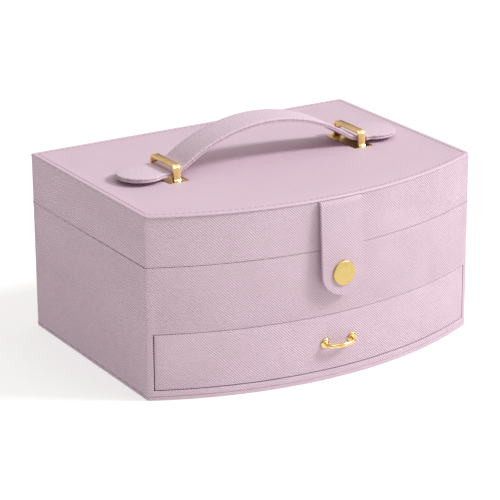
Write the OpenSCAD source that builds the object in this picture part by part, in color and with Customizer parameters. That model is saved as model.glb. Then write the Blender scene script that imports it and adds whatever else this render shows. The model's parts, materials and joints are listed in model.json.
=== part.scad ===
// Bow-front jewellery chest. A leather-covered case holds one drawer below a divided
// tray, under a hinged lid with a padded top, a snap flap and a carrying strap.
// Millimetres, +Z up, front towards -Y, origin at the centre of the base's underside.

/* [Body] */
// Width across the side walls
box_w = 260; // [250:1:290]
// Depth of the straight side walls
side_d = 163; // [160:1:185]
// How far the front bows out past the side walls
bow = 32.5; // [24:0.5:40]
// Height of the seam between case and lid
seam_z = 93.7; // [92:0.1:105]
// Gap left open at that seam
seam_gap = 0.6; // [0.4:0.1:1]
// Height of the lid's frame, from the seam up to the top panel
lid_frame_h = 34.3; // [32:0.1:45]
// Thickness of the padded top panel
panel_t = 1.8; // [1.6:0.1:3]
// How far the top panel stands out past the lid's frame
panel_over = 0.6; // [0.2:0.1:1]

/* [Walls] */
// Thickness of the leather covering
skin_t = 0.7; // [0.5:0.1:1]
// Side wall thickness, covering included
side_t = 4; // [3.6:0.1:5]
// Back wall thickness, covering included
back_t = 6; // [6:0.1:8]
// Curved front thickness, covering included
front_t = 4.7; // [4.5:0.1:6]
// Thickness of the base board
base_t = 2.6; // [2:0.1:4]
// Thickness of the case floor, whose front edge is the bottom rail
floor_t = 4.4; // [3:0.1:6]
// Thickness of the shelf between the drawer and the tray
shelf_t = 3; // [2.5:0.1:4]
// Thickness of the lid's ceiling board
ceiling_t = 3.4; // [3:0.1:4]

/* [Tray] */
// Thickness of the velvet lining on the walls
lining_t = 1.2; // [0.8:0.1:2]
// Height of the tray's dividers above the shelf
tray_divider_h = 36; // [25:1:38]
// Thickness of the tray's dividers
tray_divider_t = 4; // [3:0.5:5]
// Place of the long divider, measured from the middle of the chest
tray_split_y = 4.75; // [0:0.25:10]
// Height of a ring roll above the tray's floor
ring_roll_h = 27; // [20:1:32]
// Right-hand end of the ring rolls
ring_end_x = -10; // [-30:1:0]

/* [Drawer] */
// Height of the opening for the drawer
bay_h = 40; // [36:1:41]
// Gap beside and below the drawer's front
drawer_gap = 0.6; // [0.4:0.1:1]
// Thickness of the drawer's inner walls
drawer_wall_t = 3; // [2.5:0.1:4]
// Depth left free behind the drawer
drawer_back_gap = 3.75; // [2:0.25:10]
// Thickness of the drawer's bottom
drawer_floor_t = 2.4; // [2:0.1:3]

/* [Handle] */
// Distance of each metal loop from the middle
loop_x = 75; // [70:1:80]
// How far the handle sits behind the middle of the lid
handle_y = 3.5; // [-5:0.5:8]
// Width of the strap
strap_w = 27; // [20:1:28]
// Thickness of the strap
strap_t = 3; // [2.5:0.1:3.2]
// Height of the strap's crown above the floor of the chest's base
strap_top = 160; // [155:0.5:162]
// Radius of the strap's arch along its top
arch_r = 116.5; // [114:0.5:120]
// Radius of the bend where the arch turns flat
fillet_r = 25; // [22:1:28]
// Radius of the round tab at each end
tab_r = 17; // [15:0.5:19]
// Distance of each tab's centre from the middle
tab_x = 94.2; // [92:0.1:98]

/* [Flap] */
// Width of the flap
flap_w = 33; // [28:1:38]
// Thickness of the flap
flap_t = 2; // [1.5:0.1:2.5]
// Height of the snap's centre
snap_z = 77; // [74:0.5:82]
// How far the flap leans away from the front
flap_lean = 3; // [3:0.1:3.5]
// Radius of the snap's cap
cap_r = 8.5; // [7:0.5:10]

/* [Hinges] */
// Distance of each hinge from the middle
hinge_x = 75; // [60:1:90]
// Length of a hinge
hinge_l = 28; // [24:1:36]
// Radius of the barrel
barrel_r = 2.2; // [2:0.1:2.4]
// Radius of the pin
pin_r = 1; // [0.8:0.1:1]

/* [Hidden] */

// Plan of the body: straight sides and back, the front an arc through both front corners
depth = side_d + bow;
back_y = depth / 2;
front_y = -depth / 2;
front_r = (pow(box_w / 2, 2) + pow(bow, 2)) / (2 * bow);
arc_y = front_y + front_r;
open_x = box_w / 2 - side_t;
inner_y = back_y - back_t;

// Heights, from the bottom up
bay_z = base_t + floor_t;
shelf_z = bay_z + bay_h;
tray_z = shelf_z + shelf_t;
case_top = seam_z - seam_gap / 2;
lid_z = seam_z + seam_gap / 2;
panel_z = seam_z + lid_frame_h;
ceiling_z = panel_z - ceiling_t;
lid_top = panel_z + panel_t;

// Linings
tray_floor_t = 1.6;
tray_floor_z = tray_z + tray_floor_t;
liner_top = case_top - 0.6;
lid_liner_bottom = lid_z + 0.6;
lid_lining_t = 3.4;
mirror_w = 190;
mirror_d = 115;
mirror_y = 7.5;
mirror_t = 1.8;
mirror_z = ceiling_z - 3;

// Tray
ring_zone_y = tray_split_y + tray_divider_t / 2;
ring_rolls = 6;
ring_pitch = (inner_y - lining_t - ring_zone_y) / ring_rolls;
ring_gap = 0.3;
divider_rings_x = ring_end_x + tray_divider_t / 2;
divider_back_x = 60;
divider_front_x = 45;

// Drawer
drawer_front_x = open_x - drawer_gap;
drawer_front_z = bay_z + drawer_gap;
drawer_front_top = shelf_z - 0.4;
drawer_x = open_x - 1;
drawer_z = bay_z + 0.3;
drawer_floor_z = drawer_z + drawer_floor_t;
drawer_wall_top = shelf_z - 5;
drawer_back_y = inner_y - drawer_back_gap;
drawer_lining_t = 1;
drawer_lining_z = drawer_floor_z + 1.2;
drawer_divider_t = 3.2;
drawer_divider_top = drawer_wall_top - 4;
drawer_split_y = -4;
drawer_back_cells_x = 41;

// Drawer pull
pull_z = 26.8;
pull_x = 10.7;
pull_bow = 6;
pull_bend_r = 4.4;
pull_bar_r = 1.5;
pull_dip = 12;
rosette_r = 3.6;
rosette_h = 2;
stake_r = 1.2;
nut_t = 1.6;
nut_r = 2.9;
nut_seat_y = front_y + front_t - 2;

// Board in the top panel
panel_board_t = 1;
panel_board_inset = 1;

// Handle: the arch's centre lies below the crown, the fillet's centre above the flat end
arch_z = strap_top - arch_r;
strap_lift = 2.4;
tab_z = lid_top + strap_lift;
tab_top = tab_z + strap_t;
fillet_z = tab_top + fillet_r;
arch_angle = acos((fillet_z - arch_z) / (arch_r + fillet_r));
flat_x = (arch_r + fillet_r) * sin(arch_angle);
strap_flat = 0.5;
strap_end_gap = 0.1;
arch_steps = 16;
fillet_steps = 6;
plate_w = 15.5;
plate_l = 39;
plate_z = panel_z + panel_board_t;
plate_t = 0.8;
plate_top = plate_z + plate_t;
loop_w = 5.5;
loop_l = 33;
loop_t = 2;
loop_top = plate_top + 11;
prong_w = 3;
prong_t = 1.6;
backing_t = 0.8;
backing_l = loop_l + 4;

// Flap: it hangs from a line just in front of the lid's face
flap_pivot_y = front_y - 0.85;
flap_pivot_z = panel_z - 1.2;
flap_top_gap = 0.6;
flap_drop = (flap_pivot_z - snap_z) / cos(flap_lean);
flap_root_t = 1;
flap_root_d = 14;
socket_r = 5.5;
socket_t = 1.8;
stud_r = 1.8;
stud_base_t = 0.6;
stud_h = 1.9;
rivet_r = 1.5;

// Hinges: the axis lies in the seam at the back face
leaf_t = 0.9;
leaf_d = 5.7;
knuckle_l = hinge_l / 3;
knuckle_gap = 0.2;
pin_play = 0.05;
barrel_room = 0.3;
screw_x = 8;
screw_y = 4;

leather = [0.85, 0.74, 0.78];
board = [0.72, 0.6, 0.46];
velvet = [0.88, 0.8, 0.82];
gold = [0.86, 0.71, 0.4];
steel = [0.7, 0.7, 0.72];
glass = [0.8, 0.86, 0.9];

// ---- Shared shapes ----

// Outline of the body, drawn in by inset all round
module plan(inset = 0) {
  intersection() {
    translate([inset - box_w / 2, front_y - 10])
      square([box_w - 2 * inset, depth + 10 - inset]);
    translate([0, arc_y]) circle(r = front_r - inset, $fn = 360);
  }
}

// Outline of a hollow with a curved front, from half its width, back and front radius
module hollow(half_w, back, r) {
  intersection() {
    translate([-half_w, front_y]) square([2 * half_w, back - front_y]);
    translate([0, arc_y]) circle(r = r, $fn = 360);
  }
}

// The hollow between the walls of the case or of the lid
module inside(inset = 0) {
  hollow(open_x - inset, inner_y - inset, front_r - front_t - inset);
}

// The hollow of the drawer
module drawer_inside(inset = 0) {
  hollow(
    drawer_x - drawer_wall_t - inset,
    drawer_back_y - drawer_wall_t - inset,
    front_r - front_t - inset
  );
}

// A curved strip along the front, between two depths below the outer face
module front_band(outer, inner, half_w) {
  intersection() {
    difference() {
      translate([0, arc_y]) circle(r = front_r - outer, $fn = 360);
      translate([0, arc_y]) circle(r = front_r - inner, $fn = 360);
    }
    translate([-half_w, front_y - 1]) square([2 * half_w, bow + 2 * front_t]);
  }
}

// Raises an outline from z0 to z1
module slab(z0, z1) {
  translate([0, 0, z0]) linear_extrude(z1 - z0) children();
}

// An outline in X and Z, made solid from y0 to y1
module upright(y0, y1) {
  translate([0, y1, 0]) rotate([90, 0, 0]) linear_extrude(y1 - y0) children();
}

// A round bar along Y, from y0 to y1
module rod_y(r, y0, y1) {
  translate([0, y1, 0]) rotate([90, 0, 0]) cylinder(r = r, h = y1 - y0, $fn = 48);
}

module side_wall(side, z0, z1) {
  slab(z0, z1)
    intersection() {
      plan(skin_t);
      translate([side > 0 ? open_x : -box_w / 2, front_y]) square([side_t, depth]);
    }
}

module back_wall(z0, z1) {
  slab(z0, z1)
    translate([-open_x, inner_y]) square([2 * open_x, back_t - skin_t]);
}

// ---- Hinges ----

module at_hinges() {
  for (x = [-hinge_x, hinge_x]) translate([x, back_y, seam_z]) children();
}

module barrel(r, length) {
  rotate([0, 90, 0]) cylinder(r = r, h = length, center = true, $fn = 48);
}

// Leaf plate, above the axis for the lid (up = 1) or below it for the case (up = -1)
module leaf_plate(up) {
  translate([-hinge_l / 2, -leaf_d, up > 0 ? seam_gap / 2 : -seam_gap / 2 - leaf_t])
    cube([hinge_l, leaf_d, leaf_t]);
}

// Countersunk screw with its head's top at z = 0, pointing down
module screw() {
  rotate_extrude($fn = 32)
    polygon([[0, 0], [1.5, 0], [0.8, -leaf_t], [0.8, -6], [0, -7]]);
}

module leaf_screws(up) {
  for (x = [-screw_x, screw_x])
    translate([x, -screw_y, up * seam_gap / 2]) rotate([up > 0 ? 180 : 0, 0, 0]) screw();
}

// Everything a wall loses for its half of the hinges
module hinge_room(up) {
  at_hinges() {
    leaf_plate(up);
    barrel(barrel_r + barrel_room, hinge_l + 2 * barrel_room);
    leaf_screws(up);
  }
}

module hinge_leaf(up) {
  own = up > 0 ? [0] : [-knuckle_l, knuckle_l];
  other = up > 0 ? [-knuckle_l, knuckle_l] : [0];
  difference() {
    union() {
      leaf_plate(up);
      for (x = own) translate([x, 0, 0]) barrel(barrel_r, knuckle_l - knuckle_gap);
    }
    for (x = other)
      translate([x, 0, 0]) barrel(barrel_r + knuckle_gap, knuckle_l + 0.01);
    barrel(pin_r + pin_play, hinge_l + 2);
    leaf_screws(up);
  }
}

module hinge_case_leaves() {
  color(gold) at_hinges() hinge_leaf(-1);
}

module hinge_lid_leaves() {
  color(gold) at_hinges() hinge_leaf(1);
}

module hinge_pins() {
  color(gold) at_hinges() barrel(pin_r, hinge_l);
}

module hinge_case_screws() {
  color(gold) at_hinges() leaf_screws(-1);
}

module hinge_lid_screws() {
  color(gold) at_hinges() leaf_screws(1);
}

// ---- Case ----

module base_board() {
  color(leather) slab(0, base_t) plan();
}

module case_floor() {
  color(board) slab(base_t, bay_z) hollow(open_x, inner_y, front_r - skin_t);
}

module case_left_board() {
  color(board) side_wall(-1, base_t, case_top);
}

module case_right_board() {
  color(board) side_wall(1, base_t, case_top);
}

module case_back_board() {
  color(board)
    difference() {
      back_wall(base_t, case_top);
      hinge_room(-1);
    }
}

module snap_rivet_hole() {
  translate([0, 0, snap_z]) rod_y(rivet_r, front_y - 1, front_y + front_t);
}

module case_front_board() {
  color(board)
    difference() {
      slab(shelf_z, case_top) front_band(skin_t, front_t, open_x);
      snap_rivet_hole();
    }
}

module case_shelf() {
  color(board) slab(shelf_z, tray_z) inside();
}

// Leather around the case, open where the drawer goes in
module case_wrap() {
  color(leather)
    difference() {
      slab(base_t, case_top)
        difference() {
          plan();
          plan(skin_t);
        }
      translate([-open_x, front_y - 1, bay_z]) cube([2 * open_x, bow + front_t, bay_h]);
      hinge_room(-1);
      snap_rivet_hole();
    }
}

// Snap post: a base on the leather, a round head in front and a rivet through the board
module snap_stud() {
  color(gold)
    translate([0, 0, snap_z]) {
      rod_y(socket_r, front_y - stud_base_t, front_y);
      rod_y(stud_r, front_y - stud_h, front_y);
      rod_y(rivet_r, front_y, front_y + front_t);
    }
}

// ---- Tray ----

module tray_floor() {
  color(velvet) slab(tray_z, tray_floor_z) inside(lining_t);
}

module tray_liner() {
  color(velvet)
    slab(tray_z, liner_top)
      difference() {
        inside();
        inside(lining_t);
      }
}

// A divider standing on the tray's floor, cut to the shape of the lining
module tray_divider(x0, x1, y0, y1) {
  color(velvet)
    slab(tray_floor_z, tray_z + tray_divider_h)
      intersection() {
        inside(lining_t);
        translate([x0, y0]) square([x1 - x0, y1 - y0]);
      }
}

module tray_divider_across(x, y0, y1) {
  tray_divider(x - tray_divider_t / 2, x + tray_divider_t / 2, y0, y1);
}

module tray_divider_long() {
  half = tray_divider_t / 2;
  tray_divider(-open_x, open_x, tray_split_y - half, tray_split_y + half);
}

module tray_divider_rings() {
  tray_divider_across(divider_rings_x, ring_zone_y, inner_y);
}

module tray_divider_back() {
  tray_divider_across(divider_back_x, ring_zone_y, inner_y);
}

module tray_dividers_front() {
  for (x = [-divider_front_x, divider_front_x])
    tray_divider_across(x, front_y, tray_split_y - tray_divider_t / 2);
}

// Foam roll with a half-round top; rings stand in the gap between two rolls
module ring_roll(number) {
  r = (ring_pitch - ring_gap) / 2;
  left = lining_t + ring_gap - open_x;
  right = ring_end_x - ring_gap;
  color(velvet)
    translate([left, ring_zone_y + (number - 0.5) * ring_pitch, tray_floor_z])
      rotate([90, 0, 90])
        linear_extrude(right - left) {
          translate([0, ring_roll_h - r]) circle(r = r, $fn = 64);
          translate([-r, 0]) square([2 * r, ring_roll_h - r]);
        }
}

// ---- Lid ----

module flap_slot() {
  translate([-flap_w / 2, front_y - 1, panel_z - flap_root_t])
    cube([flap_w, flap_root_d + 1, flap_root_t + 1]);
}

module lid_front_board() {
  color(board)
    difference() {
      slab(lid_z, panel_z) front_band(skin_t, front_t, open_x);
      flap_slot();
    }
}

module lid_left_board() {
  color(board) side_wall(-1, lid_z, panel_z);
}

module lid_right_board() {
  color(board) side_wall(1, lid_z, panel_z);
}

module lid_back_board() {
  color(board)
    difference() {
      back_wall(lid_z, panel_z);
      hinge_room(1);
    }
}

module lid_wrap() {
  color(leather)
    difference() {
      slab(lid_z, panel_z)
        difference() {
          plan();
          plan(skin_t);
        }
      hinge_room(1);
      flap_slot();
    }
}

// Slots for both prongs of both loops, right through the lid
module prongs(z0, z1) {
  for (x = [-loop_x, loop_x]) loop_prongs(x, z0, z1);
}

module loop_prongs(x, z0, z1) {
  for (y = [-1, 1])
    translate([x - prong_w / 2, handle_y + y * (loop_l - loop_t) / 2 - prong_t / 2, z0])
      cube([prong_w, prong_t, z1 - z0]);
}

module backing_plates(extra = 0) {
  for (x = [-loop_x, loop_x])
    translate([x - 4, handle_y - backing_l / 2, ceiling_z - extra])
      cube([8, backing_l, backing_t + extra]);
}

module lid_ceiling_board() {
  color(board)
    difference() {
      slab(ceiling_z, panel_z) inside();
      flap_slot();
      backing_plates(1);
      prongs(ceiling_z, panel_z + 1);
    }
}

module handle_backings() {
  color(steel)
    difference() {
      backing_plates();
      prongs(ceiling_z - 1, panel_z);
    }
}

module lid_panel_board() {
  color(board)
    difference() {
      slab(panel_z, panel_z + panel_board_t) plan(panel_board_inset);
      prongs(panel_z - 1, lid_top);
    }
}

// Padded leather panel, folded over its board and pressed in under the handle plates
module lid_top_cover() {
  color(leather)
    difference() {
      slab(panel_z, lid_top) plan(-panel_over);
      slab(panel_z - 1, panel_z + panel_board_t) plan(panel_board_inset);
      prongs(panel_z - 1, lid_top + 1);
      for (x = [-loop_x, loop_x]) plate_outline(x, plate_z, lid_top + 1);
    }
}

// Velvet ceiling and walls of the lid, with a recess for the mirror
module lid_lining() {
  color(velvet)
    difference() {
      union() {
        slab(ceiling_z - lid_lining_t, ceiling_z) inside();
        slab(lid_liner_bottom, ceiling_z)
          difference() {
            inside();
            inside(lining_t);
          }
      }
      mirror_block(ceiling_z - lid_lining_t - 1, mirror_z + mirror_t);
    }
}

module mirror_block(z0, z1) {
  translate([-mirror_w / 2, mirror_y - mirror_d / 2, z0])
    cube([mirror_w, mirror_d, z1 - z0]);
}

module lid_mirror() {
  color(glass) mirror_block(mirror_z, mirror_z + mirror_t);
}

// ---- Handle ----

// Plate outline with rounded corners, from z0 to z1
module plate_outline(x, z0, z1) {
  r = 2;
  slab(z0, z1)
    translate([x, handle_y]) {
      square([plate_w, plate_l - 2 * r], center = true);
      square([plate_w - 2 * r, plate_l], center = true);
      for (sx = [-1, 1])
        for (sy = [-1, 1])
          translate([sx * (plate_w / 2 - r), sy * (plate_l / 2 - r)])
            circle(r = r, $fn = 48);
    }
}

module handle_plate(x) {
  color(gold)
    difference() {
      plate_outline(x, plate_z, plate_top);
      prongs(plate_z - 1, plate_top + 1);
    }
}

// Bridge over the strap: two legs with flared feet and a top bar with mitred corners
module handle_loop(x) {
  half = loop_l / 2;
  flare = 1.2;
  mitre = 2;
  inner_mitre = 0.6;
  color(gold) {
    translate([x - loop_w / 2, handle_y, 0])
      rotate([90, 0, 90])
        linear_extrude(loop_w)
          difference() {
            polygon([
              [-half - flare, plate_top],
              [-half, plate_top + flare],
              [-half, loop_top - mitre],
              [-half + mitre, loop_top],
              [half - mitre, loop_top],
              [half, loop_top - mitre],
              [half, plate_top + flare],
              [half + flare, plate_top]
            ]);
            polygon([
              [-half + loop_t, plate_top - 1],
              [-half + loop_t, loop_top - loop_t - inner_mitre],
              [-half + loop_t + inner_mitre, loop_top - loop_t],
              [half - loop_t - inner_mitre, loop_top - loop_t],
              [half - loop_t, loop_top - loop_t - inner_mitre],
              [half - loop_t, plate_top - 1]
            ]);
          }
    loop_prongs(x, ceiling_z, plate_top);
  }
}

// Points of the strap's right half seen from the side, level parts left out: first along
// the arch from the crown, then round the fillet, at a depth below the top surface
function strap_side(below) = concat(
  [for (i = [0:arch_steps])
    let (a = i * arch_angle / arch_steps)
    [(arch_r - below) * sin(a), arch_z + (arch_r - below) * cos(a)]],
  [for (i = [1:fillet_steps])
    let (a = arch_angle * (1 - i / fillet_steps))
    [flat_x - (fillet_r + below) * sin(a), fillet_z - (fillet_r + below) * cos(a)]]
);

// Arched strap between the two tabs
module handle_strap() {
  end_x = flat_x + strap_flat;
  top = strap_side(0);
  under = strap_side(strap_t);
  last = len(top) - 1;
  color(leather)
    upright(handle_y - strap_w / 2, handle_y + strap_w / 2)
      polygon(concat(
        [for (i = [last:-1:1]) [-top[i][0], top[i][1]]],
        top,
        [[end_x, tab_top], [end_x, tab_z]],
        [for (i = [last:-1:0]) under[i]],
        [for (i = [1:last]) [-under[i][0], under[i][1]]],
        [[-end_x, tab_z], [-end_x, tab_top]]
      ));
}

// Round tab, cut off straight where its neck meets the strap
module handle_tab(side) {
  neck_x = flat_x + strap_flat + strap_end_gap;
  color(leather)
    slab(tab_z, tab_top)
      intersection() {
        union() {
          translate([side * tab_x, handle_y]) circle(r = tab_r, $fn = 96);
          translate([side > 0 ? neck_x : -tab_x, handle_y - strap_w / 2])
            square([tab_x - neck_x, strap_w]);
        }
        translate([side > 0 ? neck_x : -neck_x - 2 * tab_x, -tab_x])
          square([2 * tab_x, 2 * tab_x]);
      }
}

// ---- Flap ----

// Thin end of the flap, held between the lid's frame and its top panel
module flap_root() {
  color(leather)
    translate([-flap_w / 2, front_y - 0.4, panel_z - flap_root_t])
      cube([flap_w, flap_root_d + 0.4, flap_root_t]);
}

// Places children on the flap: local Z runs up the flap, local -Y faces out
module on_flap() {
  translate([0, flap_pivot_y, flap_pivot_z]) rotate([-flap_lean, 0, 0]) children();
}

module flap_strap() {
  color(leather)
    on_flap()
      difference() {
        upright(-flap_t, 0) {
          translate([0, -flap_drop]) circle(r = flap_w / 2, $fn = 96);
          translate([-flap_w / 2, -flap_drop])
            square([flap_w, flap_drop - flap_top_gap]);
        }
        translate([0, 0, -flap_drop]) rod_y(rivet_r, -flap_t - 1, 1);
      }
}

// Brass cap with a rounded rim and a shank through the flap
module snap_cap() {
  rim = 0.8;
  height = 1.6;
  color(gold)
    on_flap()
      translate([0, 0, -flap_drop]) {
        rotate([90, 0, 0])
          translate([0, 0, flap_t])
            rotate_extrude($fn = 96) {
              square([cap_r - rim, height]);
              square([cap_r, height - rim]);
              translate([cap_r - rim, height - rim]) circle(r = rim, $fn = 32);
            }
        rod_y(rivet_r, -flap_t, 0);
      }
}

// Ring behind the flap that the post presses into
module snap_socket() {
  color(gold)
    on_flap()
      translate([0, 0, -flap_drop])
        difference() {
          rod_y(socket_r, 0, socket_t);
          rod_y(stud_r + 0.6, 0.6, socket_t + 1);
        }
}

// ---- Drawer ----

module pull_stakes(r, y1) {
  for (x = [-pull_x, pull_x]) translate([x, 0, pull_z]) rod_y(r, front_y - 1, y1);
}

module drawer_front_board() {
  color(board)
    difference() {
      slab(drawer_front_z + skin_t, drawer_front_top - skin_t)
        front_band(skin_t, front_t, drawer_front_x - skin_t);
      pull_stakes(stake_r, nut_seat_y);
      for (x = [-pull_x, pull_x])
        translate([x, 0, pull_z]) rod_y(nut_r + 0.2, nut_seat_y, front_y + front_t + 1);
    }
}

// Leather over the drawer's front and round its edges
module drawer_front_wrap() {
  color(leather)
    difference() {
      slab(drawer_front_z, drawer_front_top) front_band(0, front_t, drawer_front_x);
      slab(drawer_front_z + skin_t, drawer_front_top - skin_t)
        front_band(skin_t, front_t + 1, drawer_front_x - skin_t);
      pull_stakes(stake_r, nut_seat_y);
    }
}

module drawer_side(side) {
  color(board)
    slab(drawer_floor_z, drawer_wall_top)
      intersection() {
        hollow(drawer_x, drawer_back_y, front_r - front_t);
        translate([side > 0 ? drawer_x - drawer_wall_t : -drawer_x, front_y])
          square([drawer_wall_t, depth]);
      }
}

module drawer_left_side() {
  drawer_side(-1);
}

module drawer_right_side() {
  drawer_side(1);
}

module drawer_back() {
  half = drawer_x - drawer_wall_t;
  color(board)
    slab(drawer_floor_z, drawer_wall_top)
      translate([-half, drawer_back_y - drawer_wall_t]) square([2 * half, drawer_wall_t]);
}

module drawer_bottom() {
  color(board)
    slab(drawer_z, drawer_floor_z) hollow(drawer_x, drawer_back_y, front_r - front_t);
}

module drawer_lining() {
  color(velvet)
    difference() {
      slab(drawer_floor_z, drawer_wall_top - 0.6) drawer_inside();
      slab(drawer_lining_z, drawer_wall_top) drawer_inside(drawer_lining_t);
    }
}

module drawer_divider(x0, x1, y0, y1) {
  color(velvet)
    slab(drawer_lining_z, drawer_divider_top)
      intersection() {
        drawer_inside(drawer_lining_t);
        translate([x0, y0]) square([x1 - x0, y1 - y0]);
      }
}

module drawer_divider_long() {
  half = drawer_divider_t / 2;
  drawer_divider(-open_x, open_x, drawer_split_y - half, drawer_split_y + half);
}

// Two dividers behind the long one and one in front of it
module drawer_dividers_cross() {
  half = drawer_divider_t / 2;
  for (x = [-drawer_back_cells_x, drawer_back_cells_x])
    drawer_divider(x - half, x + half, drawer_split_y + half, back_y);
  drawer_divider(-half, half, front_y, drawer_split_y - half);
}

// Bowed bar between two domed rosettes, with a stake behind each rosette
module drawer_pull() {
  cross_x = pull_x - pull_bend_r;
  dome_r = (pow(rosette_r, 2) + pow(rosette_h, 2)) / (2 * rosette_h);
  color(gold) {
    translate([0, front_y, pull_z])
      rotate([pull_dip, 0, 0]) {
        translate([0, -pull_bow, 0])
          rotate([0, 90, 0])
            cylinder(r = pull_bar_r, h = 2 * cross_x, center = true, $fn = 32);
        for (side = [-1, 1])
          translate([side * cross_x, pull_bend_r - pull_bow, 0])
            rotate([0, 0, side > 0 ? 270 : 180])
              rotate_extrude(angle = 90, $fn = 96)
                translate([pull_bend_r, 0]) circle(r = pull_bar_r, $fn = 32);
      }
    for (x = [-pull_x, pull_x])
      translate([x, 0, pull_z]) {
        intersection() {
          translate([0, front_y + dome_r - rosette_h, 0]) sphere(r = dome_r, $fn = 96);
          rod_y(rosette_r, front_y - rosette_h - 1, front_y);
        }
        rod_y(stake_r, front_y - 0.5, nut_seat_y + nut_t);
      }
  }
}

module pull_nuts() {
  color(steel)
    for (x = [-pull_x, pull_x])
      translate([x, 0, pull_z])
        difference() {
          translate([0, nut_seat_y + nut_t, 0])
            rotate([90, 0, 0]) cylinder(r = nut_r, h = nut_t, $fn = 6);
          rod_y(stake_r + 0.05, nut_seat_y - 1, nut_seat_y + nut_t + 1);
        }
}

base_board();
case_floor();
case_left_board();
case_right_board();
case_back_board();
case_front_board();
case_shelf();
case_wrap();
tray_floor();
tray_liner();
tray_divider_long();
tray_divider_rings();
tray_divider_back();
tray_dividers_front();
for (number = [1:ring_rolls])
  ring_roll(number);
hinge_case_leaves();
hinge_pins();
hinge_case_screws();
snap_stud();
lid_front_board();
lid_left_board();
lid_right_board();
lid_back_board();
lid_ceiling_board();
lid_panel_board();
lid_top_cover();
lid_wrap();
lid_lining();
lid_mirror();
hinge_lid_leaves();
hinge_lid_screws();
handle_plate(-loop_x);  // handle_plate_left
handle_plate(loop_x);  // handle_plate_right
handle_loop(-loop_x);  // handle_loop_left
handle_loop(loop_x);  // handle_loop_right
handle_backings();
handle_strap();
flap_root();
handle_tab(-1);  // handle_tab_left
handle_tab(1);  // handle_tab_right
flap_strap();
snap_cap();
snap_socket();
drawer_front_board();
drawer_front_wrap();
drawer_left_side();
drawer_right_side();
drawer_back();
drawer_bottom();
drawer_lining();
drawer_divider_long();
drawer_dividers_cross();
drawer_pull();
pull_nuts();
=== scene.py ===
# %% [markdown]
# # A bow-front jewellery chest
# A leather-covered chest with one drawer, a lid with a padded top, a snap flap and a
# carrying strap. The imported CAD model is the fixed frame. Each visible piece is modelled
# around it by the tools a person uses in Blender: a primitive at its size and place, then
# extrude, inset, bevel, spin and bisect in edit mode, and a few modifiers.

# %% The frame
import json
import math

import bmesh
import bpy
import numpy as np
from mathutils import Matrix, Vector


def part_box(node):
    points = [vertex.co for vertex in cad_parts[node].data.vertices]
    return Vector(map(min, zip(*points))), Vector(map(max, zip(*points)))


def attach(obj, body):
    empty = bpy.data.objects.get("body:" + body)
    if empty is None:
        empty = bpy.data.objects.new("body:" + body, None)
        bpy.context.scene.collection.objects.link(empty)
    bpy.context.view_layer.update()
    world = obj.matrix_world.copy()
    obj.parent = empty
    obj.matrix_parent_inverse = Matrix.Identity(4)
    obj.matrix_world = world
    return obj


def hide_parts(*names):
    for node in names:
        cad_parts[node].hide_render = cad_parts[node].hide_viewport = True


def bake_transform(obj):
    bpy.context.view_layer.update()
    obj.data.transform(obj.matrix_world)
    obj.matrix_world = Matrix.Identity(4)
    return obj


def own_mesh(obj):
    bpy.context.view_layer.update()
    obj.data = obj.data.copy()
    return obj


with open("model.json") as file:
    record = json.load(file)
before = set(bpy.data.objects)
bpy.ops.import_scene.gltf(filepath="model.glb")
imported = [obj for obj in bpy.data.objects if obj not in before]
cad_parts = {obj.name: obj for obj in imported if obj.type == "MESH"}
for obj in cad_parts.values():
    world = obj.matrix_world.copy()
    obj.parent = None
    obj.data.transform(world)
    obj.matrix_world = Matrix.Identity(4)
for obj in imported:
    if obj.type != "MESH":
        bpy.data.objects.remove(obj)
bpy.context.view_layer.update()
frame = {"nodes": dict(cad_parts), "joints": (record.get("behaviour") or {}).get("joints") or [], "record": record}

MM = 0.001
nodes = frame["nodes"]

# %% [markdown]
# ## Driving dimensions
# The CAD boxes give every size but one: how deep the straight side walls are. From that
# depth and the width follow the radius and the centre of the bowed front.

# %% Driving dimensions
SIDE_DEPTH = 163 * MM
SKIN = 0.7 * MM
HALF_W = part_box("base_board")[1].x
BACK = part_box("base_board")[1].y
FRONT = -BACK
BASE_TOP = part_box("base_board")[1].z
CASE_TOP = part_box("case_back_board")[1].z
LID_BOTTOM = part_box("lid_back_board")[0].z
PANEL_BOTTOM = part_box("lid_top_cover")[0].z
LID_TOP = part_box("lid_top_cover")[1].z
BOW = (BACK - SIDE_DEPTH) - FRONT
ARC_R = (HALF_W**2 + BOW**2) / (2 * BOW)
ARC_Y = FRONT + ARC_R
print("front radius", round(ARC_R, 4), "lid top at", round(LID_TOP, 4))


def depth_in(p):
    """How far a point lies inside the outline of the body, seen from above."""
    return min(HALF_W - abs(p.x), BACK - p.y, ARC_R - math.hypot(p.x, p.y - ARC_Y))


def arc_y(x, inset=0.0):
    """Where the bowed front is at x, a given depth below its face."""
    return ARC_Y - math.sqrt((ARC_R - inset) ** 2 - x**2)


# %% [markdown]
# ## Camera
# A long lens from the front left, a little above the lid: the chest shows its left side,
# its bowed front and its top. The camera is built from angles and a distance to a target.

# %% Camera
AZIMUTH = math.radians(-31.277)
ELEVATION = math.radians(19.601)
ROLL = math.radians(-0.372)
DISTANCE = 1531.7 * MM
TARGET = Vector((-49.83, -65.25, 91.16)) * MM
LENS = 165.3

bpy.ops.object.camera_add()
camera = bpy.context.object
camera.name = "camera"
camera.data.lens = LENS
camera.data.sensor_width = 36
camera.data.clip_end = 20
turn = Matrix.Rotation(AZIMUTH, 4, "Z") @ Matrix.Rotation(math.pi / 2 - ELEVATION, 4, "X")
back_of_camera = turn.to_3x3() @ Vector((0, 0, 1))
camera.matrix_world = (
    Matrix.Translation(TARGET + DISTANCE * back_of_camera)
    @ turn
    @ Matrix.Rotation(ROLL, 4, "Z")
)
bpy.context.scene.camera = camera
print("camera at", [round(v, 3) for v in camera.matrix_world.translation])

# %% [markdown]
# ## Selecting in code
# With no mouse, what an operator acts on is chosen by place or by direction. `pick`
# selects the vertices, edges or faces that pass a test; every later step starts with it.

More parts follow.
